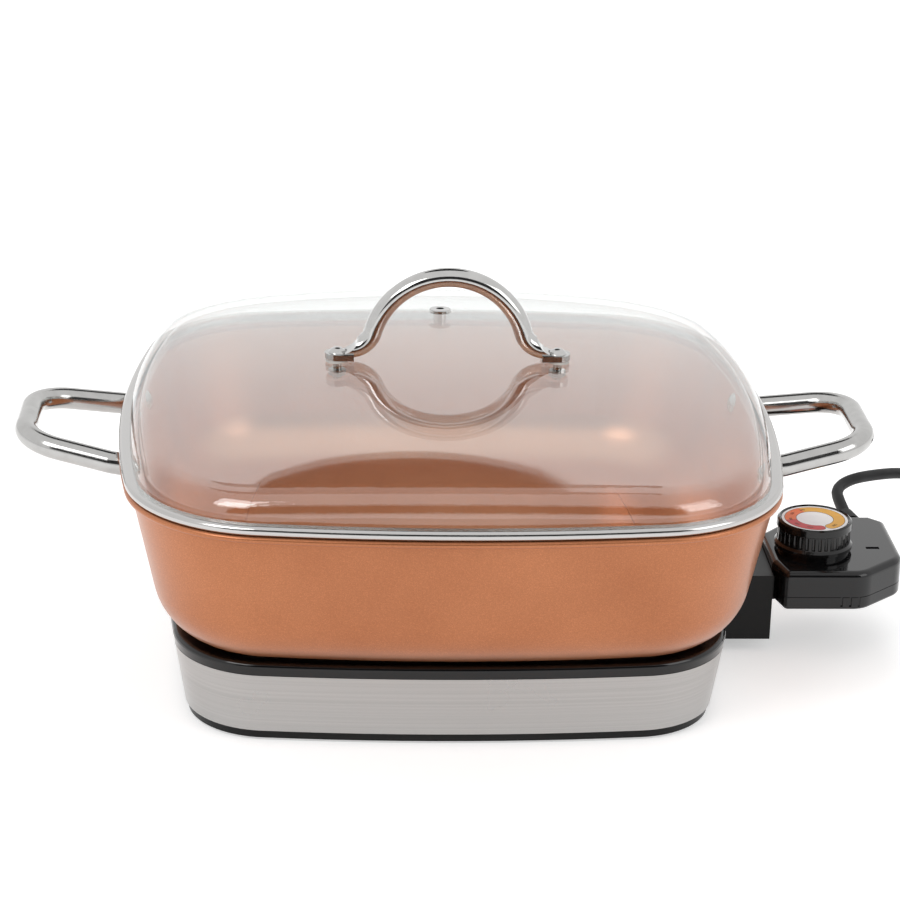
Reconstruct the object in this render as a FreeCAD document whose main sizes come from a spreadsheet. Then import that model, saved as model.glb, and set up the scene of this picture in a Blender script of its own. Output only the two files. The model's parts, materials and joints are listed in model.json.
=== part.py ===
import FreeCAD, Part
import math
import os

import Sketcher

# Electric skillet: heated base, lift-off copper pan, lift-off glass lid, plug-in heat control.
# Front is -Y, right is +X. The pieces are drawn round the middle of the base and then all moved left by
# frame_shift, so that the origin lies on the table under the middle of the skillet without its lead.

Vector = FreeCAD.Vector
doc = FreeCAD.newDocument("ElectricSkillet")
sheet = doc.addObject("Spreadsheet::Sheet", "Sizes")

# Driving dimensions in millimetres and degrees: alias, value, meaning
DIMENSIONS = (
    ("frame_shift", 11, "how far the middle of the skillet with its control lies right of the base's middle"),
    ("fit", 0.3, "gap between pieces that lift or turn apart"),
    ("seat", 0.05, "gap round a pin or shaft in its hole"),
    ("pan_width", 167, "pan rim, half width"),
    ("pan_depth", 170, "pan rim, half depth"),
    ("pan_front_bow", 800, "pan rim, radius of the front and back bow"),
    ("pan_side_bow", 640, "pan rim, radius of the side bow"),
    ("pan_corner", 73, "pan rim, corner radius"),
    ("pan_lift", 0.5, "height of the pan's underside over the base's lip"),
    ("pan_seat_height", "=base_lip_height + pan_lift", "height of the pan's underside"),
    ("pan_rim_height", "=grip_height + grip_drop", "height of the pan's rim"),
    ("pan_lean", 12, "degrees that the pan's wall leans outwards"),
    ("pan_bottom_round", 33, "outer radius between the pan's floor and wall"),
    ("pan_wall", 3, "pan wall thickness"),
    ("pan_flange", 3.5, "width of the rim flange"),
    ("pan_flange_thick", 3.2, "thickness of the rim flange"),
    ("floor_step", 1.6, "height of the raised cooking floor"),
    ("floor_step_inset", 14, "distance of the raised floor from the flat floor's edge"),
    ("band_tall", 4.8, "lid band height"),
    ("band_sheet", 0.8, "lid band sheet thickness"),
    ("band_reach", 5.8, "how far the lid band covers the glass"),
    ("glass_thick", 4, "lid glass thickness"),
    ("glass_crown", 1200, "radius of the lid's crown"),
    ("glass_rise", 27, "height of the crown over the top of the lid band"),
    ("glass_bend", 14, "outer radius between the glass skirt and crown"),
    ("lid_screw_span", 56.5, "distance of each lid handle screw from the middle"),
    ("lid_tab_wide", 12.8, "width of the lid handle's flattened ends"),
    ("lid_tab_thick", 3, "thickness of the lid handle's flattened ends"),
    ("lid_arch_radius", 40, "centreline radius of the lid handle's arch"),
    ("lid_arch_height", 38, "centreline height of the arch over its ends"),
    ("lid_foot_radius", 12, "centreline radius where the arch meets its ends"),
    ("lid_bar_wide", 11.5, "lid handle bar, width"),
    ("lid_bar_thick", 9.7, "lid handle bar, thickness"),
    ("lid_screw_radius", 2.2, "lid handle screw, radius"),
    ("lid_head_radius", 4.7, "lid handle screw, radius of its head"),
    ("lid_head_high", 2.6, "lid handle screw, height of its head"),
    ("lid_nut_radius", 4.4, "lid handle nut, radius over its corners"),
    ("lid_nut_high", 3.2, "lid handle nut, height"),
    ("vent_place", 92, "distance of the steam vent behind the middle"),
    ("vent_bore_radius", 2.1, "steam vent, radius of its bore"),
    ("vent_tube_radius", 3.4, "steam vent, radius of its tube"),
    ("vent_flange_radius", 6, "steam vent, radius of its flange"),
    ("grip_radius", 5.7, "side handle bar, radius"),
    ("grip_root", 44, "side handle, half distance between its legs at the pan"),
    ("grip_neck", 33.5, "side handle, half distance between its legs at the grip"),
    ("grip_reach", 54.5, "side handle, reach of the grip's centreline from the pan's wall"),
    ("grip_corner", 24, "side handle, centreline radius of its corners"),
    ("grip_rise", 10, "degrees that the side handle rises outwards"),
    ("grip_height", 111.5, "height of the side handle's legs at the pan"),
    ("grip_drop", 10.5, "depth of the side handle's legs below the rim"),
    ("flange_wide", 30, "side handle flange, width"),
    ("flange_tall", 17.5, "side handle flange, height"),
    ("flange_thick", 2.6, "side handle flange, thickness"),
    ("rivet_radius", 2.4, "pan rivet, radius"),
    ("rivet_place", 53, "distance of each pan rivet from the side handle's middle"),
    ("rivet_head_radius", 5.4, "pan rivet, radius of its domed head"),
    ("rivet_head_high", 2.4, "pan rivet, height of its domed head"),
    ("rivet_tail_radius", 3.8, "pan rivet, radius of its outer end"),
    ("rivet_tail_high", 1, "pan rivet, thickness of its outer end"),
    ("base_width", 143.5, "base lip, half width"),
    ("base_depth", 138, "base lip, half depth"),
    ("base_front_bow", 1010, "base lip, radius of the front and back bow"),
    ("base_side_bow", 700, "base lip, radius of the side bow"),
    ("base_corner", 49, "base lip, corner radius"),
    ("base_lip_height", 44, "height of the base's lip"),
    ("base_lip_tall", 6.3, "height of the lip's face"),
    ("base_lip_wall", 2.6, "wall of the lip ring"),
    ("base_opening", 17, "width of the lip ring's top"),
    ("base_taper", 9, "degrees that the base narrows downwards"),
    ("steel_sheet", 0.8, "steel band thickness"),
    ("steel_low", 5.8, "height of the steel band's lower edge"),
    ("frame_wall", 2.2, "wall of the inner frame"),
    ("frame_low", 1.3, "height of the inner frame's lower edge"),
    ("foot_radius", 8, "rubber foot radius"),
    ("foot_inset", 45, "distance of each rubber foot's axis from the base's lip"),
    ("plate_sheet", 1, "bottom plate thickness"),
    ("heater_inset", 35, "distance of the heater plate's edge from the lip"),
    ("heater_thick", 5.5, "heater plate thickness"),
    ("element_radius", 3.2, "heating element tube, radius"),
    ("element_inset", 24, "distance of the element's line from the heater plate's edge"),
    ("element_across", "=base_width - heater_inset - element_inset", "heating element, half width of its loop"),
    ("element_along", "=base_depth - heater_inset - element_inset", "heating element, half depth of its loop"),
    ("element_bend", 14, "heating element, bend radius"),
    ("pin_radius", 2, "terminal pin radius"),
    ("sleeve_wall", 0.75, "wall of the spring sleeves that grip the pins"),
    ("pin_space", 15, "distance of each terminal pin from the middle"),
    ("probe_radius", 3.2, "sensing rod radius"),
    ("probe_drop", 5, "how far the sensing rod lies under the heater plate"),
    ("probe_reach", 82, "how far the sensing rod reaches inside the base's lip"),
    ("post_inset", 23, "distance of each heater post from the element's sides"),
    ("post_radius", 5, "heater post, radius"),
    ("post_foot_radius", 6.5, "heater post, radius of its foot"),
    ("post_neck_radius", 3.6, "heater post, radius above the tray"),
    ("base_screw_radius", 1.6, "base screw, radius"),
    ("base_screw_head", 3.4, "base screw, radius of its head"),
    ("base_screw_long", 14, "base screw, length in the post"),
    ("tray_drop", 10, "depth of the reflector's floor below the sensing rod"),
    ("tray_tall", 9, "height of the reflector's side"),
    ("tray_sheet", 0.8, "reflector sheet thickness"),
    ("tray_slope", 5, "half of the reflector side's spread"),
    ("shroud_reach", 28, "how far the socket shroud stands out from the base's lip"),
    ("shroud_end", "=base_width + shroud_reach", "outer end of the socket shroud"),
    ("shroud_wide", 25, "socket shroud, half width"),
    ("shroud_low", 8, "socket shroud, height of its underside"),
    ("shroud_wall", 2.6, "socket shroud wall"),
    ("control_long", 70, "control housing, length"),
    ("control_wide", 40, "control housing, half width"),
    ("control_shift", 6, "how far the control housing's middle lies behind the knob"),
    ("parting_drop", 8.5, "depth of the control shells' joint below the base's lip"),
    ("lower_shell_tall", 7, "control housing, height of its lower shell"),
    ("upper_shell_tall", 14, "control housing, height of its upper shell"),
    ("control_parting", "=base_lip_height - parting_drop", "control housing, height of the joint of its shells"),
    ("control_low", "=control_parting - lower_shell_tall", "control housing, height of its underside"),
    ("control_high", "=control_parting + upper_shell_tall", "control housing, height of its top"),
    ("control_corner", 24, "control housing, radius of its outer corners"),
    ("control_wall", 2.2, "control housing wall"),
    ("control_round", 3.5, "control housing, radius of its upper edge"),
    ("knob_radius", 20.5, "knob skirt radius"),
    ("knob_grip_radius", 18.8, "knob grip radius"),
    ("knob_high", 15, "knob height"),
    ("knob_along", 24, "distance of the knob's axis from the shroud's end"),
    ("knob_flutes", 36, "number of flutes round the knob"),
    ("dial_radius", 17.4, "dial plate radius"),
    ("shaft_radius", 3, "knob shaft radius"),
    ("cord_radius", 3.25, "mains cord radius"),
    ("cord_along", 54, "distance of the cord's exit from the shroud's end"),
    ("relief_long", 24, "strain relief length"),
    ("cord_low", 3.4, "height of the lying cord's middle line"),
    ("coil_across", 124, "distance of the coil's middle to the right of the cord's exit"),
    ("coil_along", 193.5, "distance of the coil's middle behind the cord's exit"),
    ("coil_radius", 38.5, "cord coil, outermost middle line radius"),
    ("coil_pitch", 8.1, "cord coil, spacing of its turns"),
    ("coil_rise", 6.95, "cord coil, height of its second layer over its first"),
)

for row, (alias, value, meaning) in enumerate(DIMENSIONS, start=1):
    sheet.set("A%d" % row, meaning)
    sheet.setAlias("B%d" % row, alias)
for row, (alias, value, meaning) in enumerate(DIMENSIONS, start=1):
    sheet.set("B%d" % row, str(value))
doc.recompute()


def size(alias):
    return float(sheet.get(alias))


# Families of bowed rounded rectangles: half width, half depth, bows and corner of the outermost line
OUTLINES = {
    "pan": ("pan_width", "pan_depth", "pan_front_bow", "pan_side_bow", "pan_corner"),
    "base": ("base_width", "base_depth", "base_front_bow", "base_side_bow", "base_corner"),
}


def outline_centres(family, inset, scale):
    """Arc centres and radii of a bowed rounded rectangle, moved inwards by inset and then scaled."""
    wide, deep, front_bow, side_bow, corner = (
        (size(alias) - inset) * scale for alias in OUTLINES[family]
    )
    front = Vector(0, deep - front_bow, 0)
    side = Vector(wide - side_bow, 0, 0)
    apart = (side - front).Length
    near = front_bow - corner
    far = side_bow - corner
    along = (near * near - far * far + apart * apart) / (2 * apart)
    across = math.sqrt(near * near - along * along)
    line = (side - front).normalize()
    square = Vector(-line.y, line.x, 0)
    centre = front + line * along + square * across
    if centre.x < 0 or centre.y < 0:
        centre = front + line * along - square * across
    return front, side, centre, front_bow, side_bow, corner


def outline_arcs(family, inset, scale=1):
    """The eight tangent arcs of an outline, anticlockwise from its right side."""
    front, side, corner, front_bow, side_bow, round_radius = outline_centres(family, inset, scale)
    to_side = math.atan2(corner.y - side.y, corner.x - side.x)
    to_front = math.atan2(corner.y - front.y, corner.x - front.x)
    up = Vector(0, 0, 1)

    def arc(centre, radius, start, end):
        return Part.ArcOfCircle(Part.Circle(centre, up, radius), start, end)

    def turned(centre, x_sign, y_sign):
        return Vector(centre.x * x_sign, centre.y * y_sign, 0)

    half_turn = math.pi
    return (
        arc(side, side_bow, -to_side, to_side),
        arc(corner, round_radius, to_side, to_front),
        arc(front, front_bow, to_front, half_turn - to_front),
        arc(turned(corner, -1, 1), round_radius, half_turn - to_front, half_turn - to_side),
        arc(turned(side, -1, 1), side_bow, half_turn - to_side, half_turn + to_side),
        arc(turned(corner, -1, -1), round_radius, half_turn + to_side, half_turn + to_front),
        arc(turned(front, 1, -1), front_bow, half_turn + to_front, 2 * half_turn - to_front),
        arc(turned(corner, 1, -1), round_radius, -to_front, -to_side),
    )


def new_body(name):
    return doc.addObject("PartDesign::Body", name)


def plane(body, role):
    for feature in body.Origin.OriginFeatures:
        if feature.Role == role:
            return feature
    raise ValueError(role)


def new_sketch(body, name, role="XY_Plane", height=None):
    """Sketch on one of the body's own planes, lifted by an expression of the sheet."""
    sketch = body.newObject("Sketcher::SketchObject", name)
    sketch.AttachmentSupport = [(plane(body, role), "")]
    sketch.MapMode = "FlatFace"
    if height is not None:
        sketch.setExpression("AttachmentOffset.Base.z", height)
    return sketch


def formula(expression):
    """Value of an expression over the sheet, such as Sizes.fit + 2."""
    value = sheet.evalExpression(expression)
    return float(getattr(value, "Value", value))


def outline_sketch(body, name, family, height, inset="0", scale=1):
    """Fully tied sketch of a family's outline, moved inwards by the expression inset."""
    sketch = new_sketch(body, name, height=height)
    for arc in outline_arcs(family, formula(inset), scale):
        sketch.addGeometry(arc, False)
    for first in range(8):
        sketch.addConstraint(Sketcher.Constraint("Tangent", first, 2, (first + 1) % 8, 1))
    side, corner, front, left, back = 0, 1, 2, 4, 6
    for arc, axis in ((side, -1), (left, -1), (front, -2), (back, -2)):
        sketch.addConstraint(Sketcher.Constraint("PointOnObject", arc, 3, axis))
    for first, second in ((side, left), (front, back), (corner, 3), (corner, 5), (corner, 7)):
        sketch.addConstraint(Sketcher.Constraint("Equal", first, second))
    wide, deep, front_bow, side_bow, round_radius = (
        "(Sizes.%s - (%s)) * %s" % (alias, inset, scale) for alias in OUTLINES[family]
    )

    def tie(constraint, expression):
        index = sketch.addConstraint(constraint)
        sketch.setExpression("Constraints[%d]" % index, expression)

    tie(Sketcher.Constraint("Radius", side, formula(side_bow)), side_bow)
    tie(Sketcher.Constraint("Radius", front, formula(front_bow)), front_bow)
    tie(Sketcher.Constraint("Radius", corner, formula(round_radius)), round_radius)
    across = "%s - %s" % (side_bow, wide)
    along = "%s - %s" % (front_bow, deep)
    tie(Sketcher.Constraint("DistanceX", side, 3, -1, 1, formula(across)), across)
    tie(Sketcher.Constraint("DistanceX", -1, 1, left, 3, formula(across)), across)
    tie(Sketcher.Constraint("DistanceY", front, 3, -1, 1, formula(along)), along)
    tie(Sketcher.Constraint("DistanceY", -1, 1, back, 3, formula(along)), along)
    return sketch


def pad_outline(body, name, family, low, tall, inset="0"):
    """Straight pad of an outline from the height low."""
    sketch = outline_sketch(body, name + "_line", family, low, inset)
    pad = body.newObject("PartDesign::Pad", name)
    pad.Profile = sketch
    pad.setExpression("Length", tall)
    return pad


def pocket_outline(body, name, family, high, deep, inset="0"):
    """Straight pocket of an outline, cut downwards from the height high."""
    sketch = outline_sketch(body, name + "_line", family, high, inset)
    doc.recompute()
    pocket = body.newObject("PartDesign::Pocket", name)
    pocket.Profile = sketch
    pocket.setExpression("Length", deep)
    return pocket


def loft_outline(body, name, family, levels, cut=False, ruled=True):
    """Loft through levels of (height, inset, scale), added to or cut from the body."""
    sketches = [
        outline_sketch(body, "%s_line_%d" % (name, number), family, height, inset, scale)
        for number, (height, inset, scale) in enumerate(levels)
    ]
    kind = "PartDesign::SubtractiveLoft" if cut else "PartDesign::AdditiveLoft"
    loft = body.newObject(kind, name)
    loft.Profile = sketches[0]
    loft.Sections = sketches[1:]
    loft.Ruled = ruled
    return loft


def pipe_outline(body, name, family, inset, profile):
    """Sweep a closed profile of lines and arcs, drawn as (distance, height), round an outline."""
    spine = outline_sketch(body, name + "_spine", family, "0", inset)
    section = new_sketch(body, name + "_section", "XZ_Plane")
    for piece in profile:
        section.addGeometry(piece, False)
    doc.recompute()
    pipe = body.newObject("PartDesign::AdditivePipe", name)
    pipe.Profile = section
    pipe.Spine = (spine, [])
    return pipe


def line(start, end):
    return Part.LineSegment(start, end)


def closed_lines(points):
    """Line segments round a list of points."""
    return [line(point, points[(number + 1) % len(points)]) for number, point in enumerate(points)]


def flat(across, along):
    return Vector(across, along, 0)


def round_solid(name, lines, place=None):
    """Solid of revolution about Z; lines holds (radius, height) points, or segments and arcs."""
    sketch = doc.addObject("Sketcher::SketchObject", name + "_profile")
    sketch.Placement = FreeCAD.Placement(Vector(), FreeCAD.Rotation(Vector(1, 0, 0), 90))
    if isinstance(lines[0], tuple):
        lines = closed_lines([flat(*point) for point in lines])
    for piece in lines:
        sketch.addGeometry(piece, False)
    turned = doc.addObject("Part::Revolution", name)
    turned.Source = sketch
    turned.Axis = Vector(0, 0, 1)
    turned.Angle = 360
    turned.Solid = True
    if place is not None:
        turned.Placement = place
    return turned


def cylinder(name, radius, height, place):
    """Cylinder whose radius and height follow expressions of the sheet."""
    shape = doc.addObject("Part::Cylinder", name)
    shape.setExpression("Radius", radius)
    shape.setExpression("Height", height)
    shape.Placement = place
    return shape


def block(name, low, high):
    """Box between two corners, each a tuple of expressions of the sheet."""
    shape = doc.addObject("Part::Box", name)
    for side, start, end in zip(("Length", "Width", "Height"), low, high):
        shape.setExpression(side, "(%s) - (%s)" % (end, start))
    for axis, start in zip("xyz", low):
        shape.setExpression("Placement.Base." + axis, start)
    return shape


def at(across, along, height, towards=None, turn=0):
    """Placement at a point, its Z axis turned towards a direction."""
    rotation = FreeCAD.Rotation(Vector(0, 0, 1), turn)
    if towards is not None:
        rotation = FreeCAD.Rotation(Vector(0, 0, 1), towards)
    return FreeCAD.Placement(Vector(across, along, height), rotation)


def cut(name, base, tools):
    """Cut one or more tools from a base."""
    tool = tools[0]
    if len(tools) > 1:
        tool = doc.addObject("Part::MultiFuse", name + "_tools")
        tool.Shapes = tools
    result = doc.addObject("Part::Cut", name)
    result.Base = base
    result.Tool = tool
    return result


def fuse(name, shapes):
    result = doc.addObject("Part::MultiFuse", name)
    result.Shapes = shapes
    return result


def group(name, shapes):
    """Separate solids kept together under one name."""
    result = doc.addObject("Part::Compound", name)
    result.Links = shapes
    return result


def edges_where(shape, test):
    """Names of the edges that pass a test on their bounding box."""
    return ["Edge%d" % number for number, edge in enumerate(shape.Edges, start=1) if test(edge.BoundBox)]


def fillet_body(body, name, radius, test):
    """Round the edges of a body's newest shape that pass a test."""
    doc.recompute()
    base = body.Tip
    rounded = body.newObject("PartDesign::Fillet", name)
    rounded.Base = (base, edges_where(base.Shape, test))
    rounded.setExpression("Radius", radius)
    return rounded


def rounded_path(points, radii):
    """Straight runs joined by tangent arcs of the given radii at the inner points."""
    pieces = []
    start = points[0]
    for before, point, after, radius in zip(points, points[1:], points[2:], radii):
        back = (before - point).normalize()
        ahead = (after - point).normalize()
        half_turn = (math.pi - back.getAngle(ahead)) / 2
        setback = radius * math.tan(half_turn)
        first = point + back * setback
        last = point + ahead * setback
        middle = (first + last) / 2
        bulge = (point - middle).normalize() * (radius * (1 - math.cos(half_turn)))
        pieces.append(line(start, first))
        pieces.append(Part.Arc(first, middle + bulge, last))
        start = last
    pieces.append(line(start, points[-1]))
    return pieces


RESULTS = {}


def keep(name, shape):
    """Register a finished piece under its own name."""
    shape.Label = name
    RESULTS[name] = shape
    return shape


# Heights and lengths that follow from the driving dimensions

PAN_LEAN = math.radians(size("pan_lean"))
LID_LOW = "Sizes.pan_rim_height + Sizes.fit"
LID_TOP = LID_LOW + " + Sizes.band_tall"
GLASS_LOW = LID_LOW + " + Sizes.band_sheet + Sizes.seat"
GLASS_EDGE_THICK = "Sizes.band_tall - 2 * Sizes.band_sheet - 2 * Sizes.seat"
HEATER_TOP = "Sizes.pan_seat_height - Sizes.fit"
HEATER_LOW = HEATER_TOP + " - Sizes.heater_thick"
LIP_LOW = "Sizes.base_lip_height - Sizes.base_lip_tall"
STEEL_TOP = LIP_LOW + " - Sizes.fit"
PIN_HEIGHT = HEATER_LOW + " - 1"
PROBE_HEIGHT = HEATER_LOW + " - Sizes.probe_drop"
PROBE_START = "Sizes.base_width - Sizes.probe_reach"


def taper_inset(height, more="0"):
    """Inset of the base's tapered side at a height, as an expression."""
    return "(Sizes.base_lip_height - (%s)) * tan(Sizes.base_taper * 1 deg) + %s" % (height, more)


# Pan

def pan_profile():
    """Half section of the pan's wall as (distance, height)."""
    wall = size("pan_wall")
    radius = size("pan_bottom_round")
    rim = size("pan_rim_height")
    low = size("pan_seat_height")
    flange_low = rim - size("pan_flange_thick")
    top = flat(size("pan_width") - size("pan_flange"), flange_low)
    corner = flat(top.x - (flange_low - low) * math.tan(PAN_LEAN), low)
    setback = radius * math.tan((math.pi / 2 - PAN_LEAN) / 2)
    up_wall = (top - corner).normalize()
    wall_end = corner + up_wall * setback
    floor_end = corner - flat(setback, 0)
    centre = floor_end + flat(0, radius)
    to_corner = (corner - centre).normalize()
    inwards = (centre - wall_end).normalize()
    inner_wall_end = wall_end + inwards * wall
    inner_floor_end = floor_end + flat(0, wall)
    rise = rim - inner_wall_end.y
    inner_top = flat(inner_wall_end.x + rise * math.tan(PAN_LEAN), rim)
    overlap = flat(1, 0)
    edge_round = size("pan_flange_thick") / 2
    rim_in = flat(size("pan_width") - edge_round, rim)
    rim_out = flat(size("pan_width"), rim - edge_round)
    rim_under = flat(size("pan_width") - edge_round, flange_low)
    return [
        Part.Arc(rim_in, rim_out, rim_under),
        line(rim_under, top),
        line(top, wall_end),
        Part.Arc(wall_end, centre + to_corner * radius, floor_end),
        line(floor_end, floor_end - overlap),
        line(floor_end - overlap, inner_floor_end - overlap),
        line(inner_floor_end - overlap, inner_floor_end),
        Part.Arc(inner_floor_end, centre + to_corner * (radius - wall), inner_wall_end),
        line(inner_wall_end, inner_top),
        line(inner_top, rim_in),
    ]


FLOOR_INSET = (
    "Sizes.pan_flange + (Sizes.pan_rim_height - Sizes.pan_flange_thick - Sizes.pan_seat_height)"
    " * tan(Sizes.pan_lean * 1 deg) + Sizes.pan_bottom_round * tan((90 - Sizes.pan_lean) / 2 * 1 deg)"
)


def wall_spot(side, along, height):
    """Point on the pan's outer side wall and its outward direction; side is 1 right or -1 left."""
    drop = size("pan_rim_height") - size("pan_flange_thick") - height
    inset = size("pan_flange") + drop * math.tan(PAN_LEAN)
    bow = size("pan_side_bow") - inset
    centre = size("pan_width") - size("pan_side_bow")
    angle = math.asin(along / bow)
    spot = Vector(side * (centre + bow * math.cos(angle)), along, height)
    level = Vector(side * math.cos(angle), math.sin(angle), 0)
    outwards = level * math.cos(PAN_LEAN) - Vector(0, 0, math.sin(PAN_LEAN))
    return spot, outwards


def make_pan():
    body = new_body("pan_bowl")
    pipe_outline(body, "pan_wall_sweep", "pan", "0", pan_profile())
    pad_outline(body, "pan_floor", "pan", "Sizes.pan_seat_height", "Sizes.pan_wall",
                FLOOR_INSET + " + 0.5")
    step = "Sizes.pan_seat_height + Sizes.pan_wall"
    step_inset = FLOOR_INSET + " + Sizes.floor_step_inset"
    loft_outline(body, "pan_floor_step", "pan", (
        (step + " - 0.2", step_inset, 1),
        (step + " + Sizes.floor_step", step_inset + " + Sizes.floor_step", 1),
    ))
    holes = []
    for side in (-1, 1):
        for along in (-size("rivet_place"), size("rivet_place")):
            spot, outwards = wall_spot(side, along, size("grip_height"))
            start = spot - outwards * 3 * size("pan_wall")
            holes.append(cylinder("pan_rivet_hole", "Sizes.rivet_radius + Sizes.seat",
                                  "6 * Sizes.pan_wall", at(*start, towards=outwards)))
    keep("pan_shell", cut("pan_drilled", body, holes))


def rivet_lines(radius, shank, head_radius, head_high, tail_radius, tail_high):
    """Profile of a domed rivet: the head's underside lies at height 0 and the shank points down."""
    ball = (head_radius ** 2 + head_high ** 2) / (2 * head_high)
    half_angle = math.asin(head_radius / ball) / 2
    middle = flat(ball * math.sin(half_angle), head_high - ball + ball * math.cos(half_angle))
    return [
        line(flat(0, head_high), flat(0, -shank - tail_high)),
        line(flat(0, -shank - tail_high), flat(tail_radius, -shank - tail_high)),
        line(flat(tail_radius, -shank - tail_high), flat(tail_radius, -shank)),
        line(flat(tail_radius, -shank), flat(radius, -shank)),
        line(flat(radius, -shank), flat(radius, 0)),
        line(flat(radius, 0), flat(head_radius, 0)),
        Part.Arc(flat(head_radius, 0), middle, flat(0, head_high)),
    ]


def make_pan_rivets():
    grip = size("pan_wall") + size("flange_thick")
    rivets = []
    for side in (-1, 1):
        for along in (-size("rivet_place"), size("rivet_place")):
            spot, outwards = wall_spot(side, along, size("grip_height"))
            start = spot - outwards * (size("pan_wall") + size("seat"))
            lines = rivet_lines(size("rivet_radius"), grip + 2 * size("seat"), size("rivet_head_radius"),
                                size("rivet_head_high"), size("rivet_tail_radius"), size("rivet_tail_high"))
            rivets.append(round_solid("pan_rivet", lines, at(*start, towards=outwards * -1)))
    keep("handle_rivets", group("pan_rivet_set", rivets))


# Share of the side handle's flange that lies below the bar's height
FLANGE_HANG = 0.64


def make_side_handle(name, side):
    """Bent bar with two flattened flanges that lie on the pan's wall."""
    body = new_body(name + "_bar")
    root = size("grip_root")
    neck = size("grip_neck")
    reach = size("grip_reach")
    corner = size("grip_corner")
    start = -4
    stub = 9
    spine = new_sketch(body, name + "_spine")
    corners = [flat(start, -root), flat(stub, -root), flat(reach, -neck), flat(reach, neck),
               flat(stub, root), flat(start, root)]
    for piece in rounded_path(corners, (stub, corner, corner, stub)):
        spine.addGeometry(piece, False)
    section = new_sketch(body, name + "_section", "YZ_Plane", "%s" % start)
    circle = section.addGeometry(Part.Circle(flat(-root, 0), Vector(0, 0, 1), size("grip_radius")), False)
    radius = section.addConstraint(Sketcher.Constraint("Radius", circle, size("grip_radius")))
    section.setExpression("Constraints[%d]" % radius, "Sizes.grip_radius")
    doc.recompute()
    bar = body.newObject("PartDesign::AdditivePipe", name + "_sweep")
    bar.Profile = section
    bar.Spine = (spine, [])
    spot, outwards = wall_spot(1, root, size("grip_height"))
    turn = 0 if side > 0 else 180
    rise = FreeCAD.Rotation(Vector(0, -1, 0), size("grip_rise"))
    around = FreeCAD.Rotation(Vector(0, 0, 1), turn)
    place = FreeCAD.Placement(Vector(side * spot.x, 0, size("grip_height")), around.multiply(rise))
    body.Placement = place
    flanges = []
    holes = []
    for along in (-1, 1):
        centre = along * (root + size("rivet_place")) / 2
        spot, outwards = wall_spot(side, centre, size("grip_height"))
        wide = size("flange_wide")
        tall = size("flange_tall")
        flange = doc.addObject("Part::Box", name + "_flange")
        flange.setExpression("Length", "Sizes.flange_tall")
        flange.setExpression("Width", "Sizes.flange_wide")
        flange.setExpression("Height", "Sizes.flange_thick + 1")
        level = Vector(outwards.x, outwards.y, 0).normalize()
        upright = level * math.sin(PAN_LEAN) + Vector(0, 0, math.cos(PAN_LEAN))
        across = outwards.cross(upright)
        turned = FreeCAD.Rotation(upright, across, outwards, "ZXY")
        flange.Placement = FreeCAD.Placement(
            spot - outwards - upright * (tall * FLANGE_HANG) - across * (wide / 2), turned)
        rounded = doc.addObject("Part::Fillet", name + "_flange_round")
        rounded.Base = flange
        doc.recompute()
        rounded.Edges = [(number, tall * 0.42, tall * 0.42) for number, edge in
                         enumerate(flange.Shape.Edges, start=1)
                         if abs(edge.tangentAt(edge.FirstParameter).dot(outwards)) > 0.99]
        flanges.append(rounded)
        rivet_spot, rivet_out = wall_spot(side, along * size("rivet_place"), size("grip_height"))
        holes.append(cylinder(name + "_hole", "Sizes.rivet_radius + Sizes.seat", "30",
                              at(*(rivet_spot - rivet_out * 15), towards=rivet_out)))
    bowl = pan_block(name + "_bowl")
    raw = fuse(name + "_raw", [body] + flanges)
    keep(name, cut(name + "_seated", raw, [bowl] + holes))


def pan_block(name):
    """The pan's outer form as a closed solid, used to shape what lies against it."""
    body = new_body(name)
    drop = "(Sizes.pan_rim_height - Sizes.pan_flange_thick - Sizes.pan_seat_height)"
    loft_outline(body, name + "_loft", "pan", (
        ("Sizes.pan_seat_height", "Sizes.pan_flange + %s * tan(Sizes.pan_lean * 1 deg)" % drop, 1),
        ("Sizes.pan_rim_height - Sizes.pan_flange_thick", "Sizes.pan_flange", 1),
    ))
    return body


# Lid

CROWN_TOP = LID_TOP + " + Sizes.glass_rise"


def dome_height(across, along):
    """Height of the crown's upper face over a point."""
    crown = size("glass_crown")
    away = math.hypot(across, along)
    return formula(CROWN_TOP) - crown + math.sqrt(crown * crown - away * away)


def crown_block(name, low, inset, thinner, bend):
    """Outline block whose top is cut to a sphere and rounded; thinner lowers the sphere."""
    body = new_body(name)
    pad_outline(body, name + "_pad", "pan", low, "2 * Sizes.glass_rise", inset)
    crown = size("glass_crown") - formula(thinner)
    top = formula(CROWN_TOP) - formula(thinner)
    reach = 1.3 * math.hypot(size("pan_width"), size("pan_depth"))
    edge = top - crown + math.sqrt(crown * crown - reach * reach)
    half = reach / 2
    half_height = top - crown + math.sqrt(crown * crown - half * half)
    above = top + 3 * size("glass_rise")
    profile = new_sketch(body, name + "_above", "XZ_Plane")
    for piece in (line(flat(0, above), flat(0, top)),
                  Part.Arc(flat(0, top), flat(half, half_height), flat(reach, edge)),
                  line(flat(reach, edge), flat(reach, above)),
                  line(flat(reach, above), flat(0, above))):
        profile.addGeometry(piece, False)
    doc.recompute()
    groove = body.newObject("PartDesign::Groove", name + "_crown")
    groove.Profile = profile
    groove.ReferenceAxis = (profile, ["V_Axis"])
    groove.Angle = 360
    low_value = formula(low)
    corner_edge = dome_height(size("pan_width"), size("pan_depth")) - 8

    def on_crown(box):
        return box.ZMax > corner_edge and box.ZMin > low_value + 1 and box.ZMax - box.ZMin < 12

    fillet_body(body, name + "_bend", bend, on_crown)
    return body


def vent_spot():
    """Middle of the steam vent on the glass and the direction straight out of it."""
    along = size("vent_place")
    height = dome_height(0, along)
    slope = height - dome_height(0, along + 1)
    return Vector(0, along, height), Vector(0, slope, 1).normalize()


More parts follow.
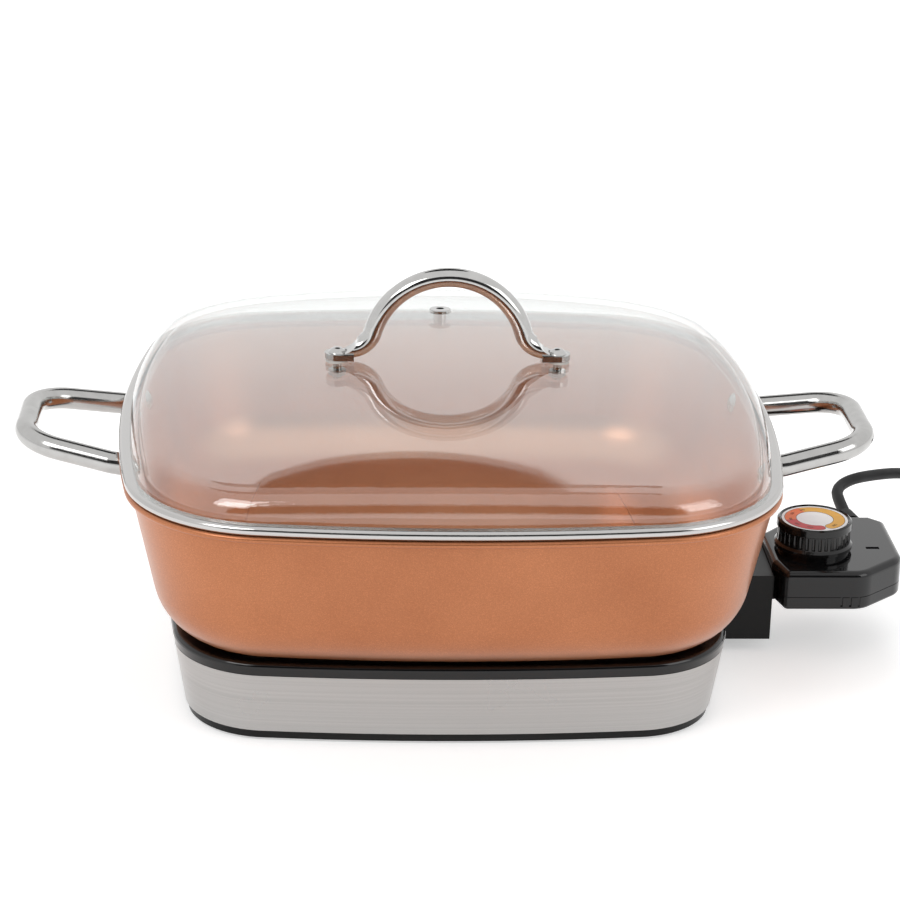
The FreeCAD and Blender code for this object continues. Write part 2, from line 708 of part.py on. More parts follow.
def make_lid_glass():
    body = crown_block("glass_form", GLASS_LOW, "Sizes.band_reach", "0", "Sizes.glass_bend")
    pad_outline(body, "glass_edge", "pan", GLASS_LOW, GLASS_EDGE_THICK, "Sizes.band_sheet + Sizes.seat")
    hollow = crown_block("glass_hollow", "(%s) - 1" % GLASS_LOW, "Sizes.band_reach + Sizes.glass_thick",
                         "Sizes.glass_thick", "Sizes.glass_bend - Sizes.glass_thick")
    holes = [cylinder("glass_hole", "Sizes.lid_screw_radius + Sizes.seat", "60",
                      at(side * size("lid_screw_span"), 0, size("pan_rim_height")))
             for side in (-1, 1)]
    spot, outwards = vent_spot()
    holes.append(cylinder("vent_hole", "Sizes.vent_tube_radius + 2 * Sizes.seat", "40",
                          at(*(spot - outwards * 20), towards=outwards)))
    keep("lid_glass", cut("glass_drilled", body, [hollow] + holes))


def make_lid_band():
    """Steel channel pressed round the edge of the glass."""
    low = formula(LID_LOW)
    top = formula(LID_TOP)
    outer = size("pan_width")
    sheet_thick = size("band_sheet")
    reach = size("band_reach") - size("seat")
    round_radius = size("band_tall") / 2
    body = new_body("lid_band_form")
    profile = [
        line(flat(outer - reach, low), flat(outer - round_radius, low)),
        Part.Arc(flat(outer - round_radius, low), flat(outer, low + round_radius),
                 flat(outer - round_radius, top)),
        line(flat(outer - round_radius, top), flat(outer - reach, top)),
        line(flat(outer - reach, top), flat(outer - reach, top - sheet_thick)),
        line(flat(outer - reach, top - sheet_thick), flat(outer - sheet_thick, top - sheet_thick)),
        line(flat(outer - sheet_thick, top - sheet_thick), flat(outer - sheet_thick, low + sheet_thick)),
        line(flat(outer - sheet_thick, low + sheet_thick), flat(outer - reach, low + sheet_thick)),
        line(flat(outer - reach, low + sheet_thick), flat(outer - reach, low)),
    ]
    pipe_outline(body, "lid_band_sweep", "pan", "0", profile)
    keep("lid_rim_band", body)


def tab_height():
    """Height of the underside of the lid handle's ends."""
    return dome_height(size("lid_screw_span") - size("lid_tab_wide") / 2, 0) + 1.2


def make_lid_handle():
    """Arched bar with flattened ends; its line is an arch that meets a small arc at each foot."""
    arch = size("lid_arch_radius")
    foot = size("lid_foot_radius")
    thick = size("lid_bar_thick")
    tab_top = tab_height() + size("lid_tab_thick")
    level = tab_height() + thick / 2 + size("fit")
    centre_height = size("lid_arch_height") - arch
    foot_across = math.sqrt((arch + foot) ** 2 - (foot - centre_height) ** 2)
    bar_end = foot_across + thick / 2
    foot_centre = flat(foot_across, foot)
    arch_centre = flat(0, centre_height)
    joint = arch_centre + (foot_centre - arch_centre).normalize() * arch
    towards_joint = (joint - foot_centre).normalize()
    halfway = foot_centre + (towards_joint + flat(0, -1)).normalize() * foot
    lift = flat(0, level)
    mirrored = flat(-joint.x, joint.y)
    body = new_body("lid_handle_form")
    spine = new_sketch(body, "lid_handle_spine", "XZ_Plane")
    for piece in (
            line(flat(-bar_end, 0) + lift, flat(-foot_across, 0) + lift),
            Part.Arc(flat(-foot_across, 0) + lift, flat(-halfway.x, halfway.y) + lift, mirrored + lift),
            Part.Arc(mirrored + lift, flat(0, size("lid_arch_height")) + lift, joint + lift),
            Part.Arc(joint + lift, halfway + lift, flat(foot_across, 0) + lift),
            line(flat(foot_across, 0) + lift, flat(bar_end, 0) + lift)):
        spine.addGeometry(piece, False)
    section = new_sketch(body, "lid_handle_section", "YZ_Plane", "%.6f" % -bar_end)
    section.addGeometry(Part.Ellipse(flat(size("lid_bar_wide") / 2, level), flat(0, level + thick / 2),
                                     flat(0, level)), False)
    doc.recompute()
    bar = body.newObject("PartDesign::AdditivePipe", "lid_handle_sweep")
    bar.Profile = section
    bar.Spine = (spine, [])
    doc.recompute()
    tabs = []
    scoops = []
    holes = []
    scoop = 1.1 * thick
    for side in (-1, 1):
        plate = doc.addObject("Part::Box", "lid_tab_plate")
        plate.Length = size("lid_screw_span") - foot_across + 2
        plate.Width = size("lid_tab_wide")
        plate.Height = size("lid_tab_thick")
        left = foot_across - 2 if side > 0 else -size("lid_screw_span")
        plate.Placement = at(left, -size("lid_tab_wide") / 2, tab_height())
        tabs.append(plate)
        tabs.append(cylinder("lid_tab_round", "Sizes.lid_tab_wide / 2", "Sizes.lid_tab_thick",
                             at(side * size("lid_screw_span"), 0, tab_height())))
        scoops.append(cylinder("lid_scoop", "%.6f" % scoop, "4 * Sizes.lid_tab_wide",
                               at(side * (bar_end + 1), -2 * size("lid_tab_wide"), tab_top + scoop + 0.02,
                                  towards=Vector(0, 1, 0))))
        scoops.append(cylinder("lid_head_room", "Sizes.lid_head_radius + Sizes.fit", "2 * Sizes.lid_head_high",
                               at(side * size("lid_screw_span"), 0, tab_top + 0.02)))
        holes.append(cylinder("lid_tab_hole", "Sizes.lid_screw_radius + Sizes.seat", "30",
                              at(side * size("lid_screw_span"), 0, tab_height() - 5)))
    keep("lid_handle", cut("lid_handle_drilled", fuse("lid_handle_raw", [body] + tabs), scoops + holes))


def hexagon_nut(name, place):
    """Six-sided nut, drilled for the lid screw."""
    form = doc.addObject("Part::Prism", name + "_form")
    form.Polygon = 6
    form.setExpression("Circumradius", "Sizes.lid_nut_radius")
    form.setExpression("Height", "Sizes.lid_nut_high")
    form.Placement = place
    bore = cylinder(name + "_bore", "Sizes.lid_screw_radius + Sizes.seat", "Sizes.lid_nut_high", place)
    return cut(name, form, [bore])


def make_lid_fasteners():
    """Silicone washers between handle and glass, domed screws, and nuts under the glass."""
    span = size("lid_screw_span")
    tab = tab_height()
    seat = size("seat")
    nut_high = size("lid_nut_high")
    head_radius = size("lid_head_radius")
    tip = 1.6
    pad_high = 8
    under = dome_height(span + size("lid_nut_radius"), 0) - size("glass_thick") - size("fit")
    washers = []
    screws = []
    nuts = []
    for side in (-1, 1):
        pad = cylinder("lid_pad", "Sizes.lid_tab_wide / 2 - 0.4", "%s" % pad_high,
                       at(side * span, 0, tab - pad_high - seat))
        hole = cylinder("lid_pad_hole", "Sizes.lid_screw_radius + Sizes.seat", "%s" % (2 * pad_high),
                        at(side * span, 0, tab - 1.5 * pad_high))
        ball = doc.addObject("Part::Sphere", "lid_pad_seat")
        ball.setExpression("Radius", "Sizes.glass_crown")
        ball.Placement = at(0, 0, formula(CROWN_TOP) - size("glass_crown"))
        washers.append(cut("lid_pad_cut", pad, [ball, hole]))
        top = tab + size("lid_tab_thick") + seat
        shank = top - under + nut_high + tip
        lines = rivet_lines(size("lid_screw_radius"), shank, head_radius, size("lid_head_high"),
                            size("lid_screw_radius") - 0.1, 0.1)
        screws.append(round_solid("lid_screw", lines, at(side * span, 0, top)))
        nuts.append(hexagon_nut("lid_nut", at(side * span, 0, under - nut_high)))
    keep("lid_handle_washers", group("lid_pads", washers))
    keep("lid_handle_screws", group("lid_screws", screws))
    keep("lid_handle_nuts", group("lid_nuts", nuts))


def make_vent():
    """Steel eyelet that lets the steam out behind the handle."""
    spot, outwards = vent_spot()
    bore = size("vent_bore_radius")
    tube = size("vent_tube_radius")
    flange = size("vent_flange_radius")
    low = -size("glass_thick") - 2
    over = 0.6
    lines = [(bore, over + 0.6), (flange - 0.4, over + 0.5), (flange, over), (tube, over), (tube - 0.1, low), (bore, low)]
    keep("vent_eyelet", round_solid("vent_form", lines, at(*spot, towards=outwards)))


# Base

def base_side(height, more="0"):
    """One level of the base's tapered side."""
    return (height, taper_inset(height, more), 1)


def base_block(name, more="0"):
    body = new_body(name)
    loft_outline(body, name + "_loft", "base", (base_side("-1", more), base_side("Sizes.base_lip_height", more)))
    return body


def socket_window(name):
    """Opening in the base's right side for the terminal pins and the sensing rod."""
    return block(name, ("Sizes.base_width - 26", "-Sizes.shroud_wide + 5", PROBE_HEIGHT + " - 5"),
                 ("Sizes.base_width + 4", "Sizes.shroud_wide - 5", "Sizes.base_lip_height - 3.2"))


def make_lip_ring():
    """Glossy ring round the top: a thin dished moulding with a drooping outer wall."""
    edge = size("base_width")
    top = size("base_lip_height")
    low = top - size("base_lip_tall")
    wall = size("base_lip_wall")
    lean = math.tan(math.radians(size("base_taper"))) * size("base_lip_tall")
    round_radius = 2.5
    dish = 2
    inner = edge - size("base_opening")
    bulge = round_radius * (1 - math.sqrt(0.5))
    shoulder = edge - round_radius * math.tan(math.radians(size("base_taper")))
    profile = [
        line(flat(edge - lean, low), flat(shoulder, top - round_radius)),
        Part.Arc(flat(shoulder, top - round_radius), flat(shoulder - bulge, top - bulge),
                 flat(shoulder - round_radius, top)),
        line(flat(shoulder - round_radius, top), flat(inner, top - dish)),
        line(flat(inner, top - dish), flat(inner - 1, low + 1)),
        line(flat(inner - 1, low + 1), flat(inner + 1.4, low + 1)),
        line(flat(inner + 1.4, low + 1), flat(inner + 2.2, top - dish - wall)),
        line(flat(inner + 2.2, top - dish - wall), flat(edge - wall - 1.5, top - wall)),
        line(flat(edge - wall - 1.5, top - wall), flat(edge - wall - lean, low)),
        line(flat(edge - wall - lean, low), flat(edge - lean, low)),
    ]
    body = new_body("lip_form")
    pipe_outline(body, "lip_sweep", "base", "0", profile)
    keep("base_lip_ring", cut("lip_notched", body, [socket_window("lip_window")]))


def make_frame():
    """Inner frame: a foot band below the steel band and a wall behind it."""
    inner = "Sizes.steel_sheet + 2 * Sizes.seat"
    body = new_body("frame_form")
    loft_outline(body, "frame_foot_band", "base", (
        base_side("Sizes.frame_low", "1"), base_side("Sizes.steel_low - Sizes.seat", "1")))
    loft_outline(body, "frame_wall_side", "base", (
        base_side("Sizes.steel_low - 1", inner), base_side(LIP_LOW + " - Sizes.seat", inner)))
    loft_outline(body, "frame_hollow", "base", (
        base_side("0", inner + " + Sizes.frame_wall"),
        base_side("Sizes.base_lip_height", inner + " + Sizes.frame_wall")), cut=True)
    keep("base_frame", cut("frame_open", body, [socket_window("frame_window")]))


def make_steel_band():
    body = new_body("steel_form")
    loft_outline(body, "steel_outside", "base", (base_side("Sizes.steel_low"), base_side(STEEL_TOP)))
    loft_outline(body, "steel_inside", "base", (
        base_side("0", "Sizes.steel_sheet"), base_side("Sizes.base_lip_height", "Sizes.steel_sheet")), cut=True)
    keep("steel_band", cut("steel_open", body, [socket_window("steel_window")]))


def make_bottom_plate():
    """Sheet under the base with rows of air slots."""
    inset = taper_inset("Sizes.frame_low", "Sizes.steel_sheet + Sizes.frame_wall + 3 * Sizes.seat")
    body = new_body("bottom_form")
    pad_outline(body, "bottom_sheet", "base", "Sizes.frame_low + 1", "Sizes.plate_sheet", inset)
    slots = []
    for row in (-1, 1):
        for number in range(-4, 5):
            slots.append(block("air_slot", ("%s" % (number * 14 - 2), "%s" % (row * 62 - 16), "0"),
                               ("%s" % (number * 14 + 2), "%s" % (row * 62 + 16), "10")))
    for across, along in foot_places():
        slots.append(cylinder("foot_hole", "3 + Sizes.seat", "10", at(across, along, 0)))
    for across, along in post_places():
        slots.append(cylinder("screw_hole", "Sizes.base_screw_radius + Sizes.seat", "10", at(across, along, 0)))
    keep("bottom_plate", cut("bottom_slotted", body, slots))


def foot_places():
    across = size("base_width") - size("foot_inset")
    along = size("base_depth") - size("foot_inset")
    return [(x * across, y * along) for x in (-1, 1) for y in (-1, 1)]


def make_feet():
    """Rubber feet with a stem pressed through the bottom plate."""
    radius = size("foot_radius")
    under = size("frame_low") + 1 - size("seat")
    above = under + size("plate_sheet") + 2 * size("seat")
    lines = [(0, 0), (radius - 1.5, 0), (radius, under - 0.4), (radius - 0.5, under), (3, under),
             (3, above), (4.4, above), (3.4, above + 2.4), (0, above + 2.4)]
    feet = [round_solid("foot", lines, at(x, y, 0)) for x, y in foot_places()]
    keep("rubber_feet", group("foot_set", feet))


def element_line():
    """Corners of the element's loop from one terminal round to the other, seen from above."""
    space = size("pin_space")
    across = size("element_across")
    along = size("element_along")
    end = size("base_width") - 30
    neck = across + size("element_bend")
    return [flat(end, -space), flat(neck, -space), flat(across, -along), flat(-across, -along),
            flat(-across, along), flat(across, along), flat(neck, space), flat(end, space)]


def element_body(name, radius):
    body = new_body(name)
    level = formula(PIN_HEIGHT)
    bend = size("element_bend")
    spine = new_sketch(body, name + "_spine", height=PIN_HEIGHT)
    for piece in rounded_path(element_line(), (bend, bend, bend, bend, bend, bend)):
        spine.addGeometry(piece, False)
    section = new_sketch(body, name + "_section", "YZ_Plane", "Sizes.base_width - 30")
    circle = section.addGeometry(Part.Circle(flat(-size("pin_space"), level), Vector(0, 0, 1), formula(radius)), False)
    tied = section.addConstraint(Sketcher.Constraint("Radius", circle, formula(radius)))
    section.setExpression("Constraints[%d]" % tied, radius)
    doc.recompute()
    tube = body.newObject("PartDesign::AdditivePipe", name + "_sweep")
    tube.Profile = section
    tube.Spine = (spine, [])
    return body


def make_heater():
    """Cast plate with the element pressed into a groove and a drilled boss for the sensing rod."""
    body = new_body("heater_form")
    pad_outline(body, "heater_slab", "base", HEATER_LOW, "Sizes.heater_thick", "Sizes.heater_inset")
    boss_half = "Sizes.probe_radius + 3.8"
    bore_start = size("base_width") - size("probe_reach") - 6
    boss = block("heater_boss", (PROBE_START + " - 10", "-(%s)" % boss_half, PROBE_HEIGHT + " - 6"),
                 ("Sizes.base_width - Sizes.heater_inset - 2", boss_half, HEATER_LOW + " + 1"))
    bore = cylinder("heater_bore", "Sizes.probe_radius + Sizes.seat", "Sizes.probe_reach",
                    at(bore_start, 0, formula(PROBE_HEIGHT), towards=Vector(1, 0, 0)))
    groove = element_body("heater_groove", "Sizes.element_radius + Sizes.seat")
    keep("heater_plate", cut("heater_grooved", fuse("heater_raw", [body, boss]), [groove, bore]))
    keep("heating_element", element_body("element_form", "Sizes.element_radius"))


def make_terminals():
    """Ceramic sleeves on the element's ends and the pins that the control plugs on to."""
    start = size("base_width") - 30
    pins = []
    sleeves = []
    for along in (-size("pin_space"), size("pin_space")):
        place = at(start + size("seat"), along, formula(PIN_HEIGHT), towards=Vector(1, 0, 0))
        pins.append(cylinder("pin", "Sizes.pin_radius", "Sizes.shroud_end - Sizes.base_width + 22", place))
        ring = cylinder("sleeve", "Sizes.element_radius + 0.5", "9", place)
        bore = cylinder("sleeve_bore", "Sizes.pin_radius + Sizes.seat", "20", at(start - 1, along, formula(PIN_HEIGHT), towards=Vector(1, 0, 0)))
        sleeves.append(cut("sleeve_ring", ring, [bore]))
    keep("terminal_pins", group("pin_pair", pins))
    keep("terminal_insulators", group("sleeve_pair", sleeves))


def post_places():
    across = size("element_across") - size("post_inset")
    along = size("element_along") - size("post_inset")
    return [(x * across, y * along) for x in (-1, 1) for y in (-1, 1)]


def make_posts():
    """Posts that carry the tray on a shoulder and the heater plate on their tops, and their screws."""
    low = size("frame_low") + 1 + size("plate_sheet") + size("seat")
    high = formula(HEATER_LOW) - size("seat")
    shoulder = formula(TRAY_LOW) - size("seat")
    bore = size("base_screw_radius") + size("seat")
    foot = size("post_foot_radius")
    body = size("post_radius")
    neck = size("post_neck_radius")
    post = [(bore, low), (foot, low), (foot, low + 2), (body, low + 5), (body, shoulder), (neck, shoulder),
            (neck - 0.2, high), (bore, high)]
    under = size("frame_low") + 1 - size("seat")
    shank = size("base_screw_radius")
    head = size("base_screw_head")
    screw = [(0, under - 1.2), (head - 1, under - 1.2), (head, under - 0.6), (head, under), (shank, under),
             (shank, under + size("base_screw_long")), (0, under + size("base_screw_long"))]
    places = post_places()
    keep("heater_posts", group("post_set", [round_solid("post", post, at(x, y, 0)) for x, y in places]))
    keep("base_screws", group("base_screw_set", [round_solid("base_screw", screw, at(x, y, 0)) for x, y in places]))


TRAY_LOW = PROBE_HEIGHT + " - Sizes.tray_drop"


def make_reflector():
    """Shallow sheet tray under the element that throws its heat upwards."""
    low = TRAY_LOW
    high = low + " + Sizes.tray_tall"
    middle = "Sizes.heater_inset"
    slope = "Sizes.tray_slope"
    thick = "Sizes.tray_sheet"
    body = new_body("reflector_form")
    loft_outline(body, "reflector_outside", "base", (
        (low, "%s + %s" % (middle, slope), 1), (high, "%s - %s" % (middle, slope), 1)))
    loft_outline(body, "reflector_inside", "base", (
        ("%s + %s" % (low, thick), "%s + %s + %s" % (middle, slope, thick), 1),
        ("%s + %s" % (high, thick), "%s - %s + %s" % (middle, slope, thick), 1)), cut=True)
    tools = [cylinder("reflector_hole", "Sizes.post_neck_radius + 0.4", "40", at(x, y, 5)) for x, y in post_places()]
    tools.append(block("reflector_gate", ("Sizes.base_width - 60", "-Sizes.shroud_wide + 3", PROBE_HEIGHT + " - 8"),
                       ("Sizes.base_width", "Sizes.shroud_wide - 3", "Sizes.base_lip_height")))
    keep("heat_reflector", cut("reflector_cut", body, tools))


def make_shroud():
    """Socket round the terminal pins, open to the right where the control plugs in."""
    shell = block("shroud_shell", ("Sizes.base_width - 16", "-Sizes.shroud_wide", "Sizes.shroud_low"),
                  ("Sizes.shroud_end", "Sizes.shroud_wide", "Sizes.base_lip_height"))
    wall = "Sizes.shroud_wall"
    room = block("shroud_room", ("Sizes.base_width - 20", "-Sizes.shroud_wide + " + wall, PROBE_HEIGHT + " - 7"),
                 ("Sizes.shroud_end + 1", "Sizes.shroud_wide - " + wall, "Sizes.base_lip_height - " + wall))
    keep("socket_shroud", cut("shroud_cut", shell, [base_block("shroud_seat", "-Sizes.seat"), room]))


# Heat control, unplugged by sliding it to the right

CONTROL_START = "Sizes.shroud_end + Sizes.fit"


def control_outline():
    """Corners of the housing seen from above, and the radius at each one."""
    start = formula(CONTROL_START)
    end = start + size("control_long")
    wide = size("control_wide")
    corner = size("control_corner")
    front = size("control_shift") - wide
    back = size("control_shift") + wide
    points = [flat(start, front + 0.75 * corner), flat(start + 0.2 * corner, front), flat(end - corner, front),
              flat(end, front + 0.9 * corner), flat(end, back - 0.3 * corner), flat(end - 0.3 * corner, back),
              flat(start + 0.9 * corner, back), flat(start, back - corner)]
    radii = (corner / 8, corner / 8, 0.6 * corner, 0.6 * corner, corner / 6, corner / 6, corner / 3, corner / 6)
    return points, radii


def closed_rounded(points, radii):
    """Closed outline of straight runs and tangent arcs."""
    pieces = []
    count = len(points)
    ends = []
    for number in range(count):
        point = points[number]
        back = (points[number - 1] - point).normalize()
        ahead = (points[(number + 1) % count] - point).normalize()
        half_turn = (math.pi - back.getAngle(ahead)) / 2
        setback = radii[number] * math.tan(half_turn)
        first = point + back * setback
        last = point + ahead * setback
        middle = (first + last) / 2
        bulge = (point - middle).normalize() * (radii[number] * (1 - math.cos(half_turn)))
        ends.append((first, middle + bulge, last))
    for number in range(count):
        first, middle, last = ends[number]
        pieces.append(Part.Arc(first, middle, last))
        pieces.append(line(last, ends[(number + 1) % count][0]))
    return pieces


def shrunk(points, by):
    """Outline moved inwards by a distance, its corners kept on their own bisectors."""
    moved = []
    count = len(points)
    for number, point in enumerate(points):
        back = (points[number - 1] - point).normalize()
        ahead = (points[(number + 1) % count] - point).normalize()
        bisector = (back + ahead).normalize()
        moved.append(point + bisector * (by / math.sin(back.getAngle(ahead) / 2)))
    return moved


def control_pad(body, name, low, high, inwards=0.0, cut=False):
    points, radii = control_outline()
    radii = [max(radius - inwards, 1) for radius in radii]
    sketch = new_sketch(body, name + "_line", height=low)
    for piece in closed_rounded(shrunk(points, inwards), radii):
        sketch.addGeometry(piece, False)
    doc.recompute()
    feature = body.newObject("PartDesign::Pocket" if cut else "PartDesign::Pad", name)
    feature.Profile = sketch
    feature.setExpression("Length", "(%s) - (%s)" % (high, low))
    if cut:
        feature.Reversed = True
    return feature


KNOB_FLOOR = "Sizes.control_high + 2.4"


def knob_place():
    return formula(CONTROL_START) + size("knob_along")


def make_control_shells():
    wall = size("control_wall")
    upper = new_body("control_upper_form")
    control_pad(upper, "upper_block", "Sizes.control_parting + Sizes.fit", "Sizes.control_high")
    fillet_body(upper, "upper_round", "Sizes.control_round", lambda box: box.ZMin > size("control_high") - 0.1)
    doc.recompute()
    control_pad(upper, "upper_room", "Sizes.control_parting", "Sizes.control_high - Sizes.control_wall",
                wall, cut=True)
    collar = cylinder("knob_collar", "Sizes.knob_radius - 1.5", "2.1",
                      at(knob_place(), 0, size("control_high") - 0.1))
    shaft_hole = cylinder("shaft_hole", "Sizes.shaft_radius + Sizes.seat", "20",
                          at(knob_place(), 0, size("control_high") - 10))
    mark = doc.addObject("Part::Wedge", "index_mark")
    mark.Xmin, mark.Xmax, mark.Ymin, mark.Ymax, mark.Zmin, mark.Zmax = 0, 7, 0, 1, -1.6, 1.6
    mark.X2min, mark.X2max, mark.Z2min, mark.Z2max = 0, 7, -1.6, 1.6
    mark.Placement = FreeCAD.Placement(
        Vector(knob_place() + size("knob_radius") + 8, 0, size("control_high") - 0.6),
        FreeCAD.Rotation(Vector(1, 0, 0), 90))
    whole = fuse("control_upper_raw", [upper, collar])
    room = gland_room("upper_gland_room")
    gate = carrier_block("upper_carrier_room", size("seat"))
    keep("control_upper_shell", cut("control_upper_cut", whole, [shaft_hole, mark, room, gate]))
    lower = new_body("control_lower_form")
    control_pad(lower, "lower_block", "Sizes.control_low", "Sizes.control_parting")
    fillet_body(lower, "lower_round", "2", lambda box: box.ZMax < size("control_low") + 0.1)
    doc.recompute()
    control_pad(lower, "lower_room", "Sizes.control_low + Sizes.control_wall", "Sizes.control_parting + 1",
                wall, cut=True)
    grooves = []
    for number in range(3):
        x = knob_place() + 10 + number * 4.6
        grooves.append(block("thumb_groove", ("%.4f" % x, "Sizes.control_shift - Sizes.control_wide - 1", "Sizes.control_low + 2"),
                             ("%.4f" % (x + 1.2), "Sizes.control_shift - Sizes.control_wide + 0.9", "Sizes.control_parting + 1")))
    room_low = gland_room("lower_gland_room")
    gate_low = carrier_block("lower_carrier_room", size("seat"))
    rod_room = cylinder("lower_rod_room", "Sizes.probe_radius + Sizes.fit", "22",
                        at(formula(CONTROL_START), 0, formula(PROBE_HEIGHT), towards=Vector(1, 0, 0)))
    keep("control_lower_shell", cut("control_lower_cut", lower, grooves + [room_low, gate_low, rod_room]))


def carrier_block(name, more):
    """Block that holds the contacts and the sensing rod in the control's left end."""
    return block(name, ("%s - 8" % CONTROL_START, "-20 - %s" % more, PROBE_HEIGHT + " - 5 - %s" % more),
                 ("%s + 10" % CONTROL_START, "20 + %s" % more, PIN_HEIGHT + " + 3.6 + %s" % more))


def make_contacts():
    """Insulating carrier, spring sleeves that grip the pins, and the sensing rod."""
    sleeves = []
    tools = []
    for along in (-size("pin_space"), size("pin_space")):
        x = size("base_width") - 18
        long = formula(CONTROL_START) + 16 - x
        place = at(x, along, formula(PIN_HEIGHT), towards=Vector(1, 0, 0))
        tube = cylinder("contact_tube", "Sizes.pin_radius + Sizes.sleeve_wall", "%.4f" % long, place)
        bore = cylinder("contact_bore", "Sizes.pin_radius + Sizes.seat", "%.4f" % (long - 8),
                        at(x - 1, along, formula(PIN_HEIGHT), towards=Vector(1, 0, 0)))
        sleeves.append(cut("contact_sleeve", tube, [bore]))
        tools.append(cylinder("carrier_hole", "Sizes.pin_radius + Sizes.sleeve_wall + Sizes.seat", "60", place))
    rod_start = formula(PROBE_START)
    rod_long = formula(CONTROL_START) + 20 - rod_start
    place = at(rod_start, 0, formula(PROBE_HEIGHT), towards=Vector(1, 0, 0))
    rod = cylinder("rod", "Sizes.probe_radius", "%.4f" % rod_long, place)
    tools.append(cylinder("rod_hole", "Sizes.probe_radius + Sizes.seat", "200", place))
    keep("contact_sleeves", group("contact_pair", sleeves))
    keep("sensing_rod", rod)
    keep("contact_carrier", cut("carrier_drilled", carrier_block("carrier_form", 0), tools))


def make_thermostat():
    """Switch frame on the sensing rod's end, its bimetal strip and the shaft that sets it."""
    x = formula(CONTROL_START) + 20 + size("seat")
    low = size("control_low") + size("control_wall") + size("seat")
    frame = block("switch_form", ("%.4f" % x, "-9", "%.4f" % low), ("%.4f" % (x + 26), "9", "%.4f" % (low + 7)))
    keep("thermostat_switch", frame)
    strip = block("strip_form", ("%.4f" % (x + 3), "-4", "%.4f" % (low + 7 + size("seat"))),
                  ("%.4f" % (x + 26), "4", "%.4f" % (low + 8.2)))
    keep("bimetal_strip", strip)
    bottom = low + 8.2 + size("fit")
    top = formula(KNOB_FLOOR) + 9
    keep("knob_shaft", cylinder("shaft_form", "Sizes.shaft_radius", "%.4f" % (top - bottom), at(knob_place(), 0, bottom)))


def make_knob():
    """Knob with a skirt, a fluted grip and a rim round the dial plate."""
    floor = formula(KNOB_FLOOR)
    top = floor + size("knob_high")
    skirt = size("knob_radius")
    grip = size("knob_grip_radius")
    dial = size("dial_radius")
    body = new_body("knob_form")
    profile = new_sketch(body, "knob_profile", "XZ_Plane")
    points = [(size("shaft_radius") + size("seat"), floor), (skirt, floor), (skirt, floor + 1.8), (grip + 0.5, floor + 3),
              (grip + 0.2, top - 4.6), (skirt - 0.6, top - 4), (skirt - 0.9, top - 0.8), (dial + 1.2, top),
              (dial + 0.1, top - 0.9), (dial + 0.1, top - 1.6), (size("shaft_radius") + size("seat"), top - 1.6)]
    for piece in closed_lines([flat(*point) for point in points]):
        profile.addGeometry(piece, False)
    doc.recompute()
    turned = body.newObject("PartDesign::Revolution", "knob_turned")
    turned.Profile = profile
    turned.ReferenceAxis = (profile, ["V_Axis"])
    turned.Angle = 360
    doc.recompute()
    flute = new_sketch(body, "flute_profile", height="%.4f" % (floor + 3.4))
    flute.addGeometry(Part.Circle(flat(grip + 0.9, 0), Vector(0, 0, 1), 1.05), False)
    doc.recompute()
    pocket = body.newObject("PartDesign::Pocket", "flute")
    pocket.Profile = flute
    pocket.Reversed = True
    pocket.Length = top - 4.9 - floor - 3.4
    doc.recompute()
    pattern = body.newObject("PartDesign::PolarPattern", "flutes")
    pattern.Originals = [pocket]
    pattern.Axis = (flute, ["N_Axis"])
    pattern.Angle = 360
    pattern.setExpression("Occurrences", "Sizes.knob_flutes")
    body.Tip = pattern
    body.Placement = at(knob_place(), 0, 0)
    keep("control_knob", body)
    dial_body = cylinder("dial_form", "Sizes.dial_radius", "0.9", at(knob_place(), 0, top - 1.6 + size("seat")))
    keep("dial_plate", dial_body)


# Mains cord

CORD_EXIT_HEIGHT = "Sizes.control_parting + 7"


def relief_place():
    """Place of the strain relief, pointing straight backwards."""
    return at(formula(CONTROL_START) + size("cord_along"), size("control_wide") + size("control_shift") - 6,
              formula(CORD_EXIT_HEIGHT), towards=Vector(0, 1, 0))


def gland_room(name):
    return cylinder(name, "Sizes.cord_radius + 2 + Sizes.seat", "20", relief_place())


def make_relief():
    """Tapered rubber strain relief held in the control's back wall."""
    radius = size("cord_radius")
    relief = size("relief_long")
    lines = [(0, 0), (radius + 2, 0), (radius + 2, 6.3), (radius + 3.4, 6.4), (radius + 3, 9), (radius + 0.9, relief), (0, relief)]
    keep("strain_relief", round_solid("relief_form", lines, relief_place()))


def cord_exit():
    return relief_place().Base + Vector(0, size("relief_long") + size("seat"), 0)


# Turns of the coil: spiral in on the table, climb a layer, spiral out
COIL_TURNS_IN = 1.25
COIL_TURNS_CLIMB = 0.5

# Route of the free cord after its exit: distance to the right, distance behind, share of the drop still to come
CORD_ROUTE = (
    (0, 20, 1),
    (2, 41, 0.985),
    (14, 62, 0.93),
    (35, 91, 0.72),
    (57.5, 122, 0.45),
    (79, 144, 0.17),
    (100, 155, 0),
)


def cord_points():
    """Route of the free cord: straight out of the relief, down and round to the right."""
    start = cord_exit()
    drop = start.z - size("cord_low")
    points = [start]
    for across, along, share in CORD_ROUTE:
        points.append(Vector(start.x + across, start.y + along, size("cord_low") + drop * share))
    points.append(coil_point(0) - Vector(2 * size("cord_radius") + size("seat"), 0, 0))
    return points


def coil_point(turns):
    """Point of the coil after a number of turns."""
    last_in = COIL_TURNS_IN
    first_out = COIL_TURNS_IN + COIL_TURNS_CLIMB
    if turns <= last_in:
        inwards = turns
    elif turns >= first_out:
        inwards = last_in - (turns - first_out)
    else:
        inwards = last_in
    climb = min(max((turns - last_in) / COIL_TURNS_CLIMB, 0), 1)
    smooth = climb * climb * (3 - 2 * climb)
    radius = size("coil_radius") - size("coil_pitch") * inwards
    angle = 2 * math.pi * turns - math.pi / 2
    start = cord_exit()
    return Vector(start.x + size("coil_across") + radius * math.cos(angle),
                  start.y + size("coil_along") + radius * math.sin(angle),
                  size("cord_low") + size("coil_rise") * smooth)


